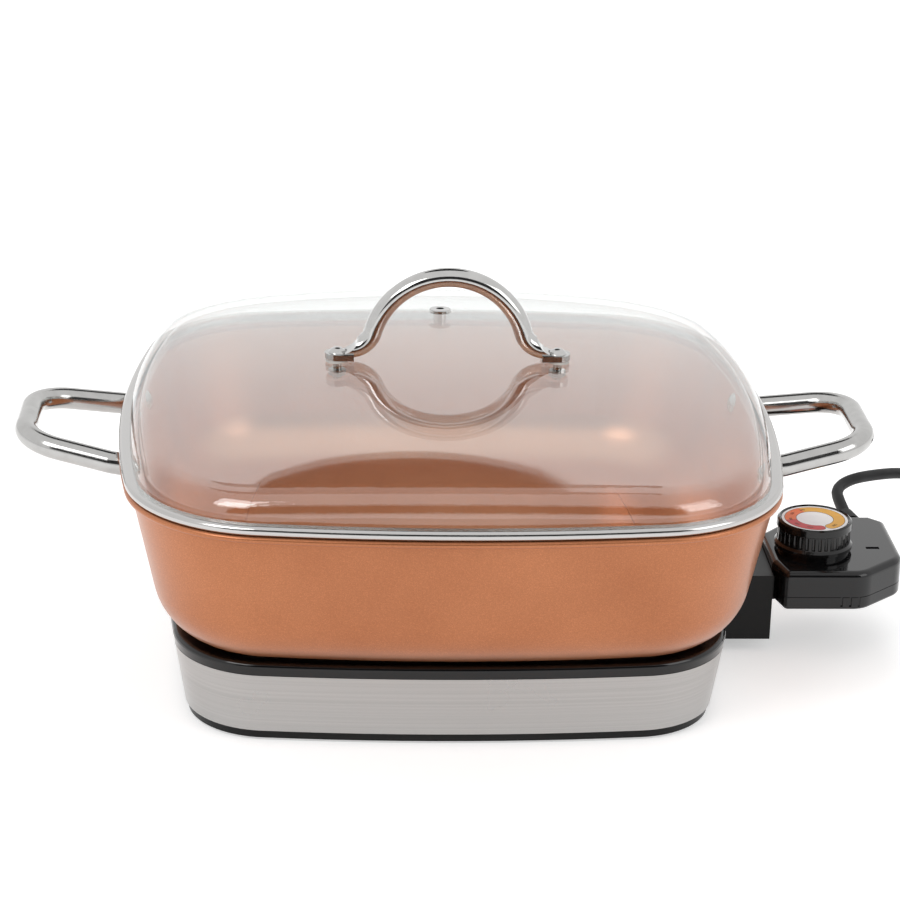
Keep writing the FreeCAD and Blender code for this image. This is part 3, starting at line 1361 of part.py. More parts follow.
def coil_direction(turns):
    small = 0.001
    return (coil_point(turns + small) - coil_point(turns - small)).normalize()


def arc_between(start, apex, end):
    """Arc from start to end whose tangents meet at apex."""
    middle = (start + end) / 2
    chord = (end - start).Length
    half_turn = (apex - start).getAngle(end - start)
    bulge = (apex - middle).normalize() * (chord / 2 * math.tan(half_turn / 2))
    return Part.Arc(start, middle + bulge, end)


def biarc(start, leaving, end, arriving):
    """Two tangent arcs between two points with given directions."""
    span = end - start
    both = leaving + arriving
    dot = span.dot(both)
    spread = 2 * (1 - leaving.dot(arriving))
    reach = (-dot + math.sqrt(dot * dot + spread * span.dot(span))) / spread
    middle = (start + end + (leaving - arriving) * reach) / 2
    return [arc_between(start, start + leaving * reach, middle),
            arc_between(middle, end - arriving * reach, end)]


COIL_TURNS = 2 * COIL_TURNS_IN + COIL_TURNS_CLIMB
COIL_STEPS = 24


def coil_edges():
    straight = 2 * size("cord_radius")
    start = coil_point(0)
    end = coil_point(COIL_TURNS)
    first_way = Vector(1, 0, 0)
    pieces = [line(start - first_way * straight, start)]
    way = first_way
    point = start
    for step in range(1, COIL_STEPS + 1):
        turns = COIL_TURNS * step / COIL_STEPS
        next_point = coil_point(turns)
        next_way = coil_direction(turns) if step < COIL_STEPS else first_way
        pieces += biarc(point, way, next_point, next_way)
        point = next_point
        way = next_way
    pieces.append(line(end, end + first_way * straight))
    return pieces


def least_self_gap(pieces, diameter):
    """Least gap between the coil's turns, from points along its middle line."""
    points = []
    for piece in pieces:
        shape = piece.toShape()
        points += shape.discretize(Number=max(3, int(shape.Length / 2)))
    away = 0
    lengths = [0]
    for before, after in zip(points, points[1:]):
        away += (after - before).Length
        lengths.append(away)
    least = 1e9
    for first in range(0, len(points), 2):
        for second in range(first + 1, len(points), 2):
            if lengths[second] - lengths[first] > 6 * diameter:
                least = min(least, (points[second] - points[first]).Length)
    return least - diameter


def tube(name, pieces, radius):
    """Round tube along a path, as one solid."""
    path = Part.Wire([piece.toShape() for piece in pieces])
    start = path.Edges[0].firstVertex().Point
    direction = (path.Edges[0].lastVertex().Point - start).normalize()
    profile = Part.Wire([Part.Circle(start, direction, radius).toShape()])
    feature = doc.addObject("Part::Feature", name)
    feature.Shape = path.makePipeShell([profile], True, False)
    expected = math.pi * radius * radius * path.Length
    print(name, "length %.1f" % path.Length, "volume share %.4f" % (feature.Shape.Volume / expected))
    return feature


def free_path(points, name):
    """Path through route points with arcs as large as their runs allow."""
    radii = []
    for before, point, after in zip(points, points[1:], points[2:]):
        shorter = min((point - before).Length, (after - point).Length)
        turn = (point - before).getAngle(after - point)
        radii.append(0.45 * shorter / math.tan(turn / 2))
    print(name, "radii", [round(radius) for radius in radii])
    return rounded_path(points, radii)


PLUG_LONG = 34


def make_cord():
    radius = size("cord_radius")
    keep("mains_cord", tube("cord_tube", free_path(cord_points(), "mains_cord"), radius))
    turns = coil_edges()
    print("coil self gap %.2f" % least_self_gap(turns, 2 * radius))
    keep("cord_coil", tube("coil_tube", turns, radius))
    start = coil_point(COIL_TURNS) + Vector(2 * radius, 0, 0)
    plug_start = start + Vector(30, 0, 0)
    start = start + Vector(size("seat"), 0, 0)
    tail = [start, start + Vector(8, 0, 0), start + Vector(18, -0.6, 0.1), start + Vector(25, -0.6, 0.1),
            plug_start - Vector(size("seat"), 0, 0)]
    tail[3] = Vector(tail[3].x, plug_start.y, plug_start.z)
    keep("cord_tail", tube("tail_tube", free_path(tail, "cord_tail"), radius))
    make_plug(plug_start)


def make_plug(start):
    """Two-blade plug: moulded body with a tapered neck, and flat blades with round holes."""
    radius = size("cord_radius")
    neck = round_solid("plug_neck", [(0, 0), (radius + 0.8, 0), (radius + 2.6, 14), (0, 14)],
                       at(*start, towards=Vector(1, 0, 0)))
    half_high = 9.8
    half_wide = 12.5
    face = start.x + 10 + PLUG_LONG
    form = new_body("plug_form")
    small = new_sketch(form, "plug_back", "YZ_Plane", "%.4f" % (start.x + 10))
    large = new_sketch(form, "plug_front", "YZ_Plane", "%.4f" % face)
    for sketch, wide, high in ((small, half_wide * 0.62, half_high * 0.7), (large, half_wide, half_high)):
        corners = [flat(start.y - wide, start.z - high), flat(start.y + wide, start.z - high),
                   flat(start.y + wide, start.z + high), flat(start.y - wide, start.z + high)]
        for piece in closed_rounded(corners, (4, 4, 4, 4)):
            sketch.addGeometry(piece, False)
    doc.recompute()
    loft = form.newObject("PartDesign::AdditiveLoft", "plug_loft")
    loft.Profile = small
    loft.Sections = [large]
    doc.recompute()
    blades = []
    slots = []
    for side in (-1, 1):
        low = ("%.4f" % (face - 6), "%.4f" % (start.y + side * 6.35 - 0.75), "%.4f" % (start.z - 3.2))
        high = ("%.4f" % (face + 17), "%.4f" % (start.y + side * 6.35 + 0.75), "%.4f" % (start.z + 3.2))
        blade = block("blade", low, high)
        slot_low = tuple("%s - Sizes.seat" % value for value in low)
        slot_high = tuple("%s + Sizes.seat" % value for value in high)
        slots.append(block("blade_slot", slot_low, slot_high))
        hole = cylinder("blade_hole", "1.6", "6", at(face + 12, start.y + side * 6.35 - 3, start.z, towards=Vector(0, 1, 0)))
        blades.append(cut("blade_drilled", blade, [hole]))
    keep("plug_body", cut("plug_slotted", fuse("plug_raw", [neck, form]), slots))
    keep("plug_blades", group("blade_pair", blades))


for job in (make_pan, make_pan_rivets, make_lid_glass, make_lid_band, make_lid_handle, make_lid_fasteners,
            make_vent, make_lip_ring, make_frame, make_steel_band, make_bottom_plate, make_feet, make_heater,
            make_terminals, make_posts, make_reflector, make_shroud, make_control_shells, make_contacts,
            make_thermostat, make_knob, make_relief, make_cord):
    job()
make_side_handle("left_handle", -1)
make_side_handle("right_handle", 1)

doc.recompute()
for thing in doc.Objects:
    if "Invalid" in thing.State or "Error" in thing.State:
        raise RuntimeError("failed: " + thing.Name)
os.makedirs("parts", exist_ok=True)
for name, thing in RESULTS.items():
    if thing.Shape.isNull() or not thing.Shape.isValid():
        raise RuntimeError("not a valid shape: " + name)
    print(name, len(thing.Shape.Solids), round(thing.Shape.Volume))
    moved = thing.Shape.translated(Vector(-size("frame_shift"), 0, 0))
    moved.exportStep("parts/%s.step" % name)
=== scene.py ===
"""Looks of an electric skillet: copper pan, glass lid, steel and black base, heat control and lead.

Metres throughout, in the part's own frame: front -Y, right +X, the table at height 0.
"""

import json
import logging
import math
from dataclasses import dataclass
from enum import Enum
from typing import Any, Protocol, Sequence

import bmesh
import bpy
from mathutils import Matrix, Vector

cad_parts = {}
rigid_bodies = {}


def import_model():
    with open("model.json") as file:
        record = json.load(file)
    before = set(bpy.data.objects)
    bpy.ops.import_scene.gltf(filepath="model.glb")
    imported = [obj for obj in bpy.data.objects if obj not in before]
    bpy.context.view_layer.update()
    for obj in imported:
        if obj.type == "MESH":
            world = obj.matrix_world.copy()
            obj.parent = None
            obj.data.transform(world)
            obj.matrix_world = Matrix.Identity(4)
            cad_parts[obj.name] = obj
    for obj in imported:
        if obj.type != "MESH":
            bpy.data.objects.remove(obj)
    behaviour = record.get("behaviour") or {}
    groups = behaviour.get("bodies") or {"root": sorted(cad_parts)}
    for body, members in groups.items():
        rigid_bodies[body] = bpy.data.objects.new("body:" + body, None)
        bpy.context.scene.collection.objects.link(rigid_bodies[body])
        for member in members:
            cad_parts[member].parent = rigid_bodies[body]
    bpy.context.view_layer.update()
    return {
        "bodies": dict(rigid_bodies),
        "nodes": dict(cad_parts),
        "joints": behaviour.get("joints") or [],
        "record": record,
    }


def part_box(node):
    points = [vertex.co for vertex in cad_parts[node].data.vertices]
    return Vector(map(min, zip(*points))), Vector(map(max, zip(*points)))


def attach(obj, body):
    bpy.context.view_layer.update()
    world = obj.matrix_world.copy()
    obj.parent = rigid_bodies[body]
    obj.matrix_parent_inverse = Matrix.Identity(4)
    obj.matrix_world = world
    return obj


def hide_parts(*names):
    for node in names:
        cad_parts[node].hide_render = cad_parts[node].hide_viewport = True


MM = 0.001
SAME_POINT = 1e-7
METAL_RELIEF = 0.00004
MOULDED_RELIEF = 0.00005
WHITE = (1.0, 1.0, 1.0, 1.0)
UPWARDS = (0.0, 0.0, 1.0)
Colour = tuple[float, float, float]
Socket = bpy.types.NodeSocket
log = logging.getLogger("skillet")


class Grain(Enum):
    """Direction of the fine lines in a metal's finish, as a stretch of the pattern along X, Y and Z."""

    LEVEL = (3.0, 3.0, 1400.0)
    ACROSS = (1400.0, 3.0, 1400.0)
    NONE = (160.0, 160.0, 160.0)


class Sheen(Enum):
    """How shiny a moulded surface is: its roughness, its own reflection and the clear gloss over it."""

    GLOSS = (0.10, 0.26, 0.34)
    SATIN = (0.34, 0.20, 0.0)
    MATTE = (0.55, 0.12, 0.0)


# Finishes


class Finish(Protocol):
    """Any finish of a piece."""

    def make(self) -> bpy.types.Material:
        """Build the material."""
        ...


class NodePatch:
    """Node tree, with short ways to add nodes and to link them."""

    def __init__(self, tree: bpy.types.NodeTree) -> None:
        """Start from an empty tree."""
        self.tree = tree
        self.tree.nodes.clear()

    def add(self, kind: str, values: dict[Any, Any] | None = None, **settings: Any) -> bpy.types.Node:
        """Add a node.

        Args:
            kind: Blender's name of the node type.
            values: Numbers and colours for the node's own sockets, by name or place.
            settings: Properties of the node.

        Returns:
            The new node.
        """
        node = self.tree.nodes.new(kind)
        for key, value in settings.items():
            setattr(node, key, value)
        for key, value in (values or {}).items():
            node.inputs[key].default_value = value
        return node

    def join(self, source: Socket, target: Socket) -> None:
        """Link an output to an input."""
        self.tree.links.new(source, target)

    def maths(self, operation: str, first: Socket, second: Socket | float) -> Socket:
        """Work out one sum.

        Args:
            operation: Blender's name of the sum.
            first: The first number, from a node.
            second: The second number, plain or from a node.

        Returns:
            The result.
        """
        node = self.add("ShaderNodeMath", operation=operation)
        self.join(first, node.inputs[0])
        if isinstance(second, float):
            node.inputs[1].default_value = second
        else:
            self.join(second, node.inputs[1])
        return node.outputs["Value"]

    def shown(self) -> Socket:
        """Tell what is looked at from the light that falls on the object.

        Returns:
            1 where the camera sees a surface, straight, through glass or mirrored, and else 0.
        """
        path = self.add("ShaderNodeLightPath")
        straight = path.outputs["Is Camera Ray"]
        through = self.maths("MAXIMUM", straight, path.outputs["Is Transmission Ray"])
        return self.maths("MAXIMUM", through, path.outputs["Is Glossy Ray"])


class FinishNodes(NodePatch):
    """Node tree of one finish, with the patterns that the finishes need."""

    def __init__(self, name: str) -> None:
        """Start an empty material of this name."""
        self.material = bpy.data.materials.new(name)
        self.material.use_nodes = True
        super().__init__(self.material.node_tree)
        self.output = self.add("ShaderNodeOutputMaterial")

    def place(self, stretch: Sequence[float] = (1.0, 1.0, 1.0)) -> Socket:
        """Object coordinates.

        Args:
            stretch: Stretch along X, Y and Z.

        Returns:
            The coordinates for a pattern.
        """
        coordinates = self.add("ShaderNodeTexCoord")
        mapping = self.add("ShaderNodeMapping", {"Scale": tuple(stretch)})
        self.join(coordinates.outputs["Object"], mapping.inputs["Vector"])
        return mapping.outputs["Vector"]

    def noise(self, place: Socket, scale: float, detail: float = 3.0) -> Socket:
        """Soft noise.

        Args:
            place: The pattern's coordinates.
            scale: Waves to the metre.
            detail: How many finer waves it holds.

        Returns:
            A value from 0 to 1, mostly between 0.3 and 0.7.
        """
        node = self.add("ShaderNodeTexNoise", {"Scale": scale, "Detail": detail})
        self.join(place, node.inputs["Vector"])
        return node.outputs["Fac"]

    def specks(self, place: Socket, scale: float) -> Socket:
        """Small cells of random grey, as flakes in a metallic coating.

        Args:
            place: The pattern's coordinates.
            scale: Cells to the metre.

        Returns:
            A value from 0 to 1.
        """
        node = self.add("ShaderNodeTexVoronoi", {"Scale": scale})
        self.join(place, node.inputs["Vector"])
        grey = self.add("ShaderNodeRGBToBW")
        self.join(node.outputs["Color"], grey.inputs["Color"])
        return grey.outputs["Val"]

    def span(self, value: Socket, low: float, high: float, start: float = 0.3, end: float = 0.7) -> Socket:
        """Spread a value over a range.

        Args:
            value: The value.
            low: The result at the start.
            high: The result at the end.
            start: Where the value starts.
            end: Where the value ends.

        Returns:
            The spread value.
        """
        limits = {"From Min": start, "From Max": end, "To Min": low, "To Max": high}
        node = self.add("ShaderNodeMapRange", limits)
        self.join(value, node.inputs["Value"])
        return node.outputs["Result"]

    def tones(self, value: Socket, stops: Sequence[tuple[float, Colour]]) -> Socket:
        """Colour by a value.

        Args:
            value: The value, from 0 to 1.
            stops: Place and colour of each stop.

        Returns:
            The colour.
        """
        node = self.add("ShaderNodeValToRGB")
        ramp = node.color_ramp
        while len(ramp.elements) < len(stops):
            ramp.elements.new(1.0)
        for element, (where, colour) in zip(ramp.elements, stops):
            element.position = where
            element.color = (*colour, 1.0)
        self.join(value, node.inputs["Fac"])
        return node.outputs["Color"]

    def upward(self, kind: str) -> Socket:
        """Upward part of a coordinate.

        Args:
            kind: Object for the height, or Normal for how far a face looks up.

        Returns:
            The height in metres, or a value from -1 to 1.
        """
        coordinates = self.add("ShaderNodeTexCoord")
        split = self.add("ShaderNodeSeparateXYZ")
        self.join(coordinates.outputs[kind], split.inputs["Vector"])
        return split.outputs["Z"]

    def mix(self, first: Socket, second: Socket, share: Socket | None = None, way: str = "MIX") -> Socket:
        """Mix two colours.

        Args:
            first: The first colour.
            second: The second colour.
            share: Share of the second, or None for all of it.
            way: Blender's name of the way of mixing.

        Returns:
            The mixed colour.
        """
        node = self.add("ShaderNodeMix", {"Factor": 1.0}, data_type="RGBA", blend_type=way)
        if share is not None:
            self.join(share, node.inputs["Factor"])
        self.join(first, node.inputs["A"])
        self.join(second, node.inputs["B"])
        return node.outputs["Result"]

    def bump(self, height: Socket, strength: float, distance: float) -> Socket:
        """Fine relief.

        Args:
            height: The height pattern.
            strength: Its share.
            distance: Its full height in metres.

        Returns:
            The bent normal.
        """
        node = self.add("ShaderNodeBump", {"Strength": strength, "Distance": distance})
        self.join(height, node.inputs["Height"])
        return node.outputs["Normal"]

    def surface(self, values: dict[str, Any], links: dict[str, Socket]) -> bpy.types.Material:
        """Close the tree with a Principled surface.

        Args:
            values: Its plain numbers.
            links: Its linked patterns.

        Returns:
            The finished material.
        """
        node = self.add("ShaderNodeBsdfPrincipled", values)
        for key, socket in links.items():
            self.join(socket, node.inputs[key])
        return self.done(node.outputs["BSDF"])

    def done(self, shader: Socket) -> bpy.types.Material:
        """Close the tree with this shader and give the material."""
        self.join(shader, self.output.inputs["Surface"])
        return self.material


@dataclass(frozen=True)
class CopperCoating:
    """Satin metallic copper coating with fine bright flakes, and painted light: paler on the faces inside
    the pan that look up.
    """

    name: str = "copper_coating"
    deep: Colour = (0.430, 0.147, 0.056)
    bright: Colour = (0.515, 0.190, 0.078)
    # Painted light: paler copper tones that stand in for the light inside the pan.
    painted_light_inner_deep: Colour = (0.64, 0.292, 0.152)
    painted_light_inner_bright: Colour = (0.75, 0.372, 0.210)
    # Painted light: a face takes the paler tones when it looks up by this share and lies under the rim.
    inward_turn: float = 0.06
    rim_low: float = 0.1185
    rim_soft: float = 0.0005
    cloud_scale: float = 14.0
    flake_scale: float = 2600.0
    flake_tones: tuple[tuple[float, Colour], ...] = (
        (0.0, (0.88, 0.87, 0.86)),
        (0.6, (1.0, 1.0, 1.0)),
        (1.0, (1.20, 1.23, 1.26)),
    )
    flake_relief: float = 0.10
    metallic: float = 0.62
    roughness: tuple[float, float] = (0.31, 0.37)
    gloss: float = 0.25
    gloss_roughness: float = 0.12

    def inside(self, nodes: FinishNodes) -> Socket:
        """Find where the painted light goes inside the pan: faces that look upwards and lie below the rim.

        Args:
            nodes: The finish's tree.

        Returns:
            1 inside the pan and 0 outside it.
        """
        facing = nodes.span(nodes.upward("Normal"), 0.0, 1.0, 0.0, self.inward_turn)
        height = nodes.upward("Object")
        below = nodes.span(height, 1.0, 0.0, self.rim_low, self.rim_low + self.rim_soft)
        return nodes.maths("MULTIPLY", facing, below)

    def make(self) -> bpy.types.Material:
        """Build the material.

        Returns:
            The material.
        """
        nodes = FinishNodes(self.name)
        place = nodes.place()
        cloud = nodes.noise(place, self.cloud_scale)
        flakes = nodes.specks(place, self.flake_scale)
        shade = nodes.span(cloud, 0.0, 1.0)
        outer = nodes.tones(shade, ((0.0, self.deep), (1.0, self.bright)))
        # The paler inner tones are painted light on the up-facing faces inside the pan, not a second coat.
        inner = nodes.tones(shade, ((0.0, self.painted_light_inner_deep), (1.0, self.painted_light_inner_bright)))
        coating = nodes.mix(outer, inner, self.inside(nodes))
        colour = nodes.mix(coating, nodes.tones(flakes, self.flake_tones), way="MULTIPLY")
        return nodes.surface(
            {
                "Metallic": self.metallic,
                "Coat Weight": self.gloss,
                "Coat Roughness": self.gloss_roughness,
            },
            {
                "Base Color": colour,
                "Roughness": nodes.span(cloud, *self.roughness),
                "Normal": nodes.bump(flakes, self.flake_relief, METAL_RELIEF),
            },
        )


@dataclass(frozen=True)
class Metal:
    """Bare metal, from mirror polish to a brushed or cast surface."""

    name: str
    colour: Colour
    roughness: tuple[float, float] = (0.08, 0.16)
    grain: Grain = Grain.NONE
    relief: float = 0.04
    shade: float = 0.9
    line_detail: float = 4.0
    cloud_scale: float = 22.0

    def make(self) -> bpy.types.Material:
        """Build the material.

        Returns:
            The material.
        """
        nodes = FinishNodes(self.name)
        lines = nodes.noise(nodes.place(self.grain.value), 1.0, self.line_detail)
        cloud = nodes.noise(nodes.place(), self.cloud_scale)
        darker = tuple(channel * self.shade for channel in self.colour)
        tones = ((0.0, darker), (1.0, self.colour))
        return nodes.surface(
            {"Metallic": 1.0},
            {
                "Base Color": nodes.tones(nodes.span(lines, 0.0, 1.0), tones),
                "Roughness": nodes.span(cloud, *self.roughness),
                "Normal": nodes.bump(lines, self.relief, METAL_RELIEF),
            },
        )


@dataclass(frozen=True)
class Moulding:
    """Moulded plastic, rubber, ink or fired clay."""

    name: str
    colour: Colour
    sheen: Sheen = Sheen.MATTE
    grain_scale: float = 900.0
    relief: float = 0.12
    grain_detail: float = 2.0
    lift: float = 1.25
    spread: float = 0.15
    cloud_scale: float = 30.0
    gloss_roughness: float = 0.05

    def make(self) -> bpy.types.Material:
        """Build the material.

        Returns:
            The material.
        """
        nodes = FinishNodes(self.name)
        place = nodes.place()
        fine = nodes.noise(place, self.grain_scale, self.grain_detail)
        cloud = nodes.noise(place, self.cloud_scale)
        roughness, reflection, gloss = self.sheen.value
        lighter = tuple(channel * self.lift for channel in self.colour)
        smoother = roughness * (1.0 - self.spread)
        rougher = roughness * (1.0 + self.spread)
        tones = ((0.0, self.colour), (1.0, lighter))
        return nodes.surface(
            {
                "Specular IOR Level": reflection,
                "Coat Weight": gloss,
                "Coat Roughness": self.gloss_roughness,
            },
            {
                "Base Color": nodes.tones(nodes.span(cloud, 0.0, 1.0), tones),
                "Roughness": nodes.span(cloud, smoother, rougher),
                "Normal": nodes.bump(fine, self.relief, MOULDED_RELIEF),
            },
        )


@dataclass(frozen=True)
class ClearGlass:
    """Tempered lid glass: clear from above, and hazy with reflected light at a low angle."""

    name: str = "lid_glass_clear"
    tint: Colour = (0.975, 0.985, 0.98)
    mirror: Colour = (0.95, 0.96, 0.96)
    facing_gloss: float = 0.085
    edge_gloss: float = 0.95
    falloff: float = 3.3
    roughness: tuple[float, float] = (0.02, 0.06)
    ripple_scale: float = 9.0
    ripple_strength: float = 0.05
    ripple_height: float = 0.0015

    def make(self) -> bpy.types.Material:
        """Build the material.

        Returns:
            The material.
        """
        nodes = FinishNodes(self.name)
        ripple = nodes.noise(nodes.place(), self.ripple_scale, 1.0)
        through = nodes.add("ShaderNodeBsdfTransparent", {"Color": (*self.tint, 1.0)})
        gloss = nodes.add("ShaderNodeBsdfGlossy", {"Color": (*self.mirror, 1.0)})
        nodes.join(nodes.span(ripple, *self.roughness), gloss.inputs["Roughness"])
        nodes.join(nodes.bump(ripple, self.ripple_strength, self.ripple_height), gloss.inputs["Normal"])
        # At a blend of a half, Facing is 1 less the cosine of the angle of view.
        weight = nodes.add("ShaderNodeLayerWeight", {"Blend": 0.5})
        steep = nodes.maths("POWER", weight.outputs["Facing"], self.falloff)
        mix = nodes.add("ShaderNodeMixShader")
        nodes.join(nodes.span(steep, self.facing_gloss, self.edge_gloss, 0.0, 1.0), mix.inputs[0])
        nodes.join(through.outputs["BSDF"], mix.inputs[1])
        nodes.join(gloss.outputs["BSDF"], mix.inputs[2])
        return nodes.done(mix.outputs["Shader"])


@dataclass(frozen=True)
class FloorPaint:
    """Plain white floor that takes the shadow and shows white where it is seen or mirrored."""

    name: str = "studio_floor"
    colour: Colour = (0.90, 0.90, 0.90)
    shade: float = 0.995
    cloud_scale: float = 3.0
    lift: float = 0.42

    def make(self) -> bpy.types.Material:
        """Build the material.

        Returns:
            The material.
        """
        nodes = FinishNodes(self.name)
        cloud = nodes.noise(nodes.place(), self.cloud_scale)
        darker = tuple(channel * self.shade for channel in self.colour)
        paint = nodes.add("ShaderNodeBsdfDiffuse")
        nodes.join(nodes.tones(cloud, ((0.0, darker), (1.0, self.colour))), paint.inputs["Color"])
        white = nodes.add("ShaderNodeEmission", {"Color": WHITE})
        nodes.join(nodes.maths("MULTIPLY", nodes.shown(), self.lift), white.inputs["Strength"])
        both = nodes.add("ShaderNodeAddShader")
        nodes.join(paint.outputs["BSDF"], both.inputs[0])
        nodes.join(white.outputs["Emission"], both.inputs[1])
        return nodes.done(both.outputs["Shader"])


# Helpers for pieces


def give(frame: dict[str, Any], names: Sequence[str], finish: Finish) -> None:
    """Put one finish on several CAD nodes.

    Args:
        names: The CAD nodes' names.
        finish: The finish.
    """
    material = finish.make()
    for name in names:
        node = frame["nodes"][name]
        if not node.material_slots:
            node.data.materials.append(material)
        for held in node.material_slots:
            held.material = material
        log.info("%s: %s", name, material.name)


def piece_from(name: str, mesh: bmesh.types.BMesh, material: bpy.types.Material) -> bpy.types.Object:
    """Turn a finished bmesh into an object at the origin.

    Args:
        name: The piece's name.
        mesh: The bmesh, which is freed.
        material: Its finish.

    Returns:
        The new object.
    """
    bmesh.ops.remove_doubles(mesh, verts=mesh.verts, dist=SAME_POINT)
    bmesh.ops.recalc_face_normals(mesh, faces=mesh.faces)
    data = bpy.data.meshes.new(name)
    mesh.to_mesh(data)
    mesh.free()
    data.materials.append(material)
    piece = bpy.data.objects.new(name, data)
    bpy.context.scene.collection.objects.link(piece)
    log.info("%s: %d faces", name, len(data.polygons))
    return piece


# Camera, light and floor


@dataclass
class StudioCamera:
    """Camera at the photograph's angle, for a square frame of 900 pixels."""

    # Fitted to the photograph: metres, radians and pixels.
    place: Vector = Vector((-0.07754, -1.30044, 0.59191))
    yaw: float = 0.05289
    pitch: float = 0.35854
    roll: float = 0.02321
    focal_pixels: float = 2679.3
    frame_pixels: float = 900.0
    sensor: float = 36.0
    nearest: float = 0.05
    farthest: float = 50.0

    def build(self) -> bpy.types.Object:
        """Make the camera and set it as the scene's own.

        Returns:
            The camera object.
        """
        level = math.cos(self.pitch)
        ahead = Vector((math.sin(self.yaw) * level, math.cos(self.yaw) * level, -math.sin(self.pitch)))
        right = Vector((math.cos(self.yaw), -math.sin(self.yaw), 0.0))
        above = right.cross(ahead)
        rolled_right = right * math.cos(self.roll) + above * math.sin(self.roll)
        rolled_above = above * math.cos(self.roll) - right * math.sin(self.roll)
        turned = Matrix((rolled_right, rolled_above, -ahead)).transposed().to_4x4()
        data = bpy.data.cameras.new("studio_camera")
        data.sensor_width = self.sensor
        data.lens = self.focal_pixels * self.sensor / self.frame_pixels
        data.clip_start = self.nearest
        data.clip_end = self.farthest
        camera = bpy.data.objects.new("studio_camera", data)
        camera.matrix_world = Matrix.Translation(self.place) @ turned
        bpy.context.scene.collection.objects.link(camera)
        bpy.context.scene.camera = camera
        log.info("camera: lens %.1f mm", data.lens)
        return camera


@dataclass(frozen=True)
class Lamp:
    """Square soft lamp: where it hangs, the point that it faces, its side, and its power in watts."""

    name: str
    place: tuple[float, float, float]
    target: tuple[float, float, float]
    side: float
    power: float
    mirrored: bool = True

    def hang(self) -> bpy.types.Object:
        """Hang the lamp.

        Returns:
            The lamp's object.
        """
        data = bpy.data.lights.new(self.name, "AREA")
        data.size = self.side
        data.energy = self.power
        lamp = bpy.data.objects.new(self.name, data)
        place = Vector(self.place)
        turned = (Vector(self.target) - place).to_track_quat("-Z", "Y").to_matrix().to_4x4()
        lamp.matrix_world = Matrix.Translation(place) @ turned
        lamp.visible_glossy = self.mirrored
        bpy.context.scene.collection.objects.link(lamp)
        log.info("%s: %.0f W", self.name, self.power)
        return lamp


@dataclass
class Studio:
    """White floor, soft lamps, dark cards that are only mirrored, and a room of plain white light."""

    floor_size: float = 40.0
    floor_depth: float = 0.0002
    room_light: float = 0.62
    lamps: tuple[Lamp, ...] = (
        Lamp("key_lamp", (-1.1, -1.2, 1.5), (0.0, 0.0, 0.08), 0.9, 11.0),
        Lamp("fill_lamp", (1.4, -0.9, 1.0), (0.0, 0.0, 0.08), 0.9, 5.0),
        Lamp("back_lamp", (0.1, 1.5, 1.3), (0.0, 0.0, 0.1), 1.2, 12.0, mirrored=False),
    )
    cloth: Colour = (0.03, 0.03, 0.03)
    card_wide: float = 3.4
    card_high: float = 1.5
    card_middle: float = 1.125
    card_behind: float = 2.0
    disc_away: float = 2.5
    disc_steepness: float = 51.0
    disc_radius: float = 0.66
    disc_segments: int = 64

    def floor(self) -> bpy.types.Object:
        """Make the floor, a hair under the table's height.

        Returns:
            The floor's object.
        """
        mesh = bmesh.new()
        bmesh.ops.create_grid(mesh, x_segments=2, y_segments=2, size=self.floor_size / 2)
        bmesh.ops.translate(mesh, verts=mesh.verts, vec=(0.0, 0.0, -self.floor_depth))
        floor = piece_from("floor", mesh, FloorPaint().make())
        return floor

    def dark_card(self) -> bpy.types.Object:
        """Make the card behind the camera: the dark side of the studio, seen only as a reflection.

        Returns:
            The card's object.
        """
        mesh = bmesh.new()
        # A square of side 1, stretched to the card's size.
        bmesh.ops.create_grid(mesh, x_segments=1, y_segments=1, size=0.5)
        bmesh.ops.scale(mesh, verts=mesh.verts, vec=(self.card_wide, self.card_high, 1.0))
        upright = Matrix.Rotation(math.pi / 2.0, 4, "X")
        place = Matrix.Translation((0.0, -self.card_behind, self.card_middle))
        bmesh.ops.transform(mesh, verts=mesh.verts, matrix=place @ upright)
        cloth = Moulding("card_cloth", self.cloth).make()
        return self.only_mirrored(piece_from("dark_card", mesh, cloth))

    def dark_disc(self) -> bpy.types.Object:
        """Make the dark round opening in the ceiling light: the lid mirrors its edge as an arc.

        Returns:
            The disc's object.
        """
        mesh = bmesh.new()
        steep = math.radians(self.disc_steepness)
        tilt = Matrix.Rotation(math.pi / 2.0 + steep, 4, "X")
        way = Vector((0.0, math.cos(steep), math.sin(steep)))
        turned = Matrix.Translation(way * self.disc_away) @ tilt
        bmesh.ops.create_circle(mesh, cap_ends=True, segments=self.disc_segments,
                                radius=self.disc_radius, matrix=turned)
        cloth = Moulding("disc_cloth", self.cloth).make()
        return self.only_mirrored(piece_from("dark_disc", mesh, cloth))

    def only_mirrored(self, card: bpy.types.Object) -> bpy.types.Object:
        """Let a card be seen only as a reflection.

        Args:
            card: The card's object.

        Returns:
            The same object.
        """
        card.visible_camera = False
        card.visible_diffuse = False
        card.visible_shadow = False
        card.visible_transmission = False
        return card

    def room(self) -> None:
        """Make the room: full white where it is seen or mirrored, softer as light on the object."""
        world = bpy.data.worlds.new("white_room")
        bpy.context.scene.world = world
        world.use_nodes = True
        nodes = NodePatch(world.node_tree)
        light = nodes.add("ShaderNodeBackground", {"Color": WHITE, "Strength": self.room_light})
        backdrop = nodes.add("ShaderNodeBackground", {"Color": WHITE, "Strength": 1.0})
        mix = nodes.add("ShaderNodeMixShader")
        nodes.join(nodes.shown(), mix.inputs[0])
        nodes.join(light.outputs["Background"], mix.inputs[1])
        nodes.join(backdrop.outputs["Background"], mix.inputs[2])
        output = nodes.add("ShaderNodeOutputWorld")
        nodes.join(mix.outputs["Shader"], output.inputs["Surface"])

    def build(self) -> None:
        """Set up floor, cards, lamps and room."""
        self.floor()
        self.dark_card()
        self.dark_disc()
        for lamp in self.lamps:
            lamp.hang()
        self.room()


# Mains lead


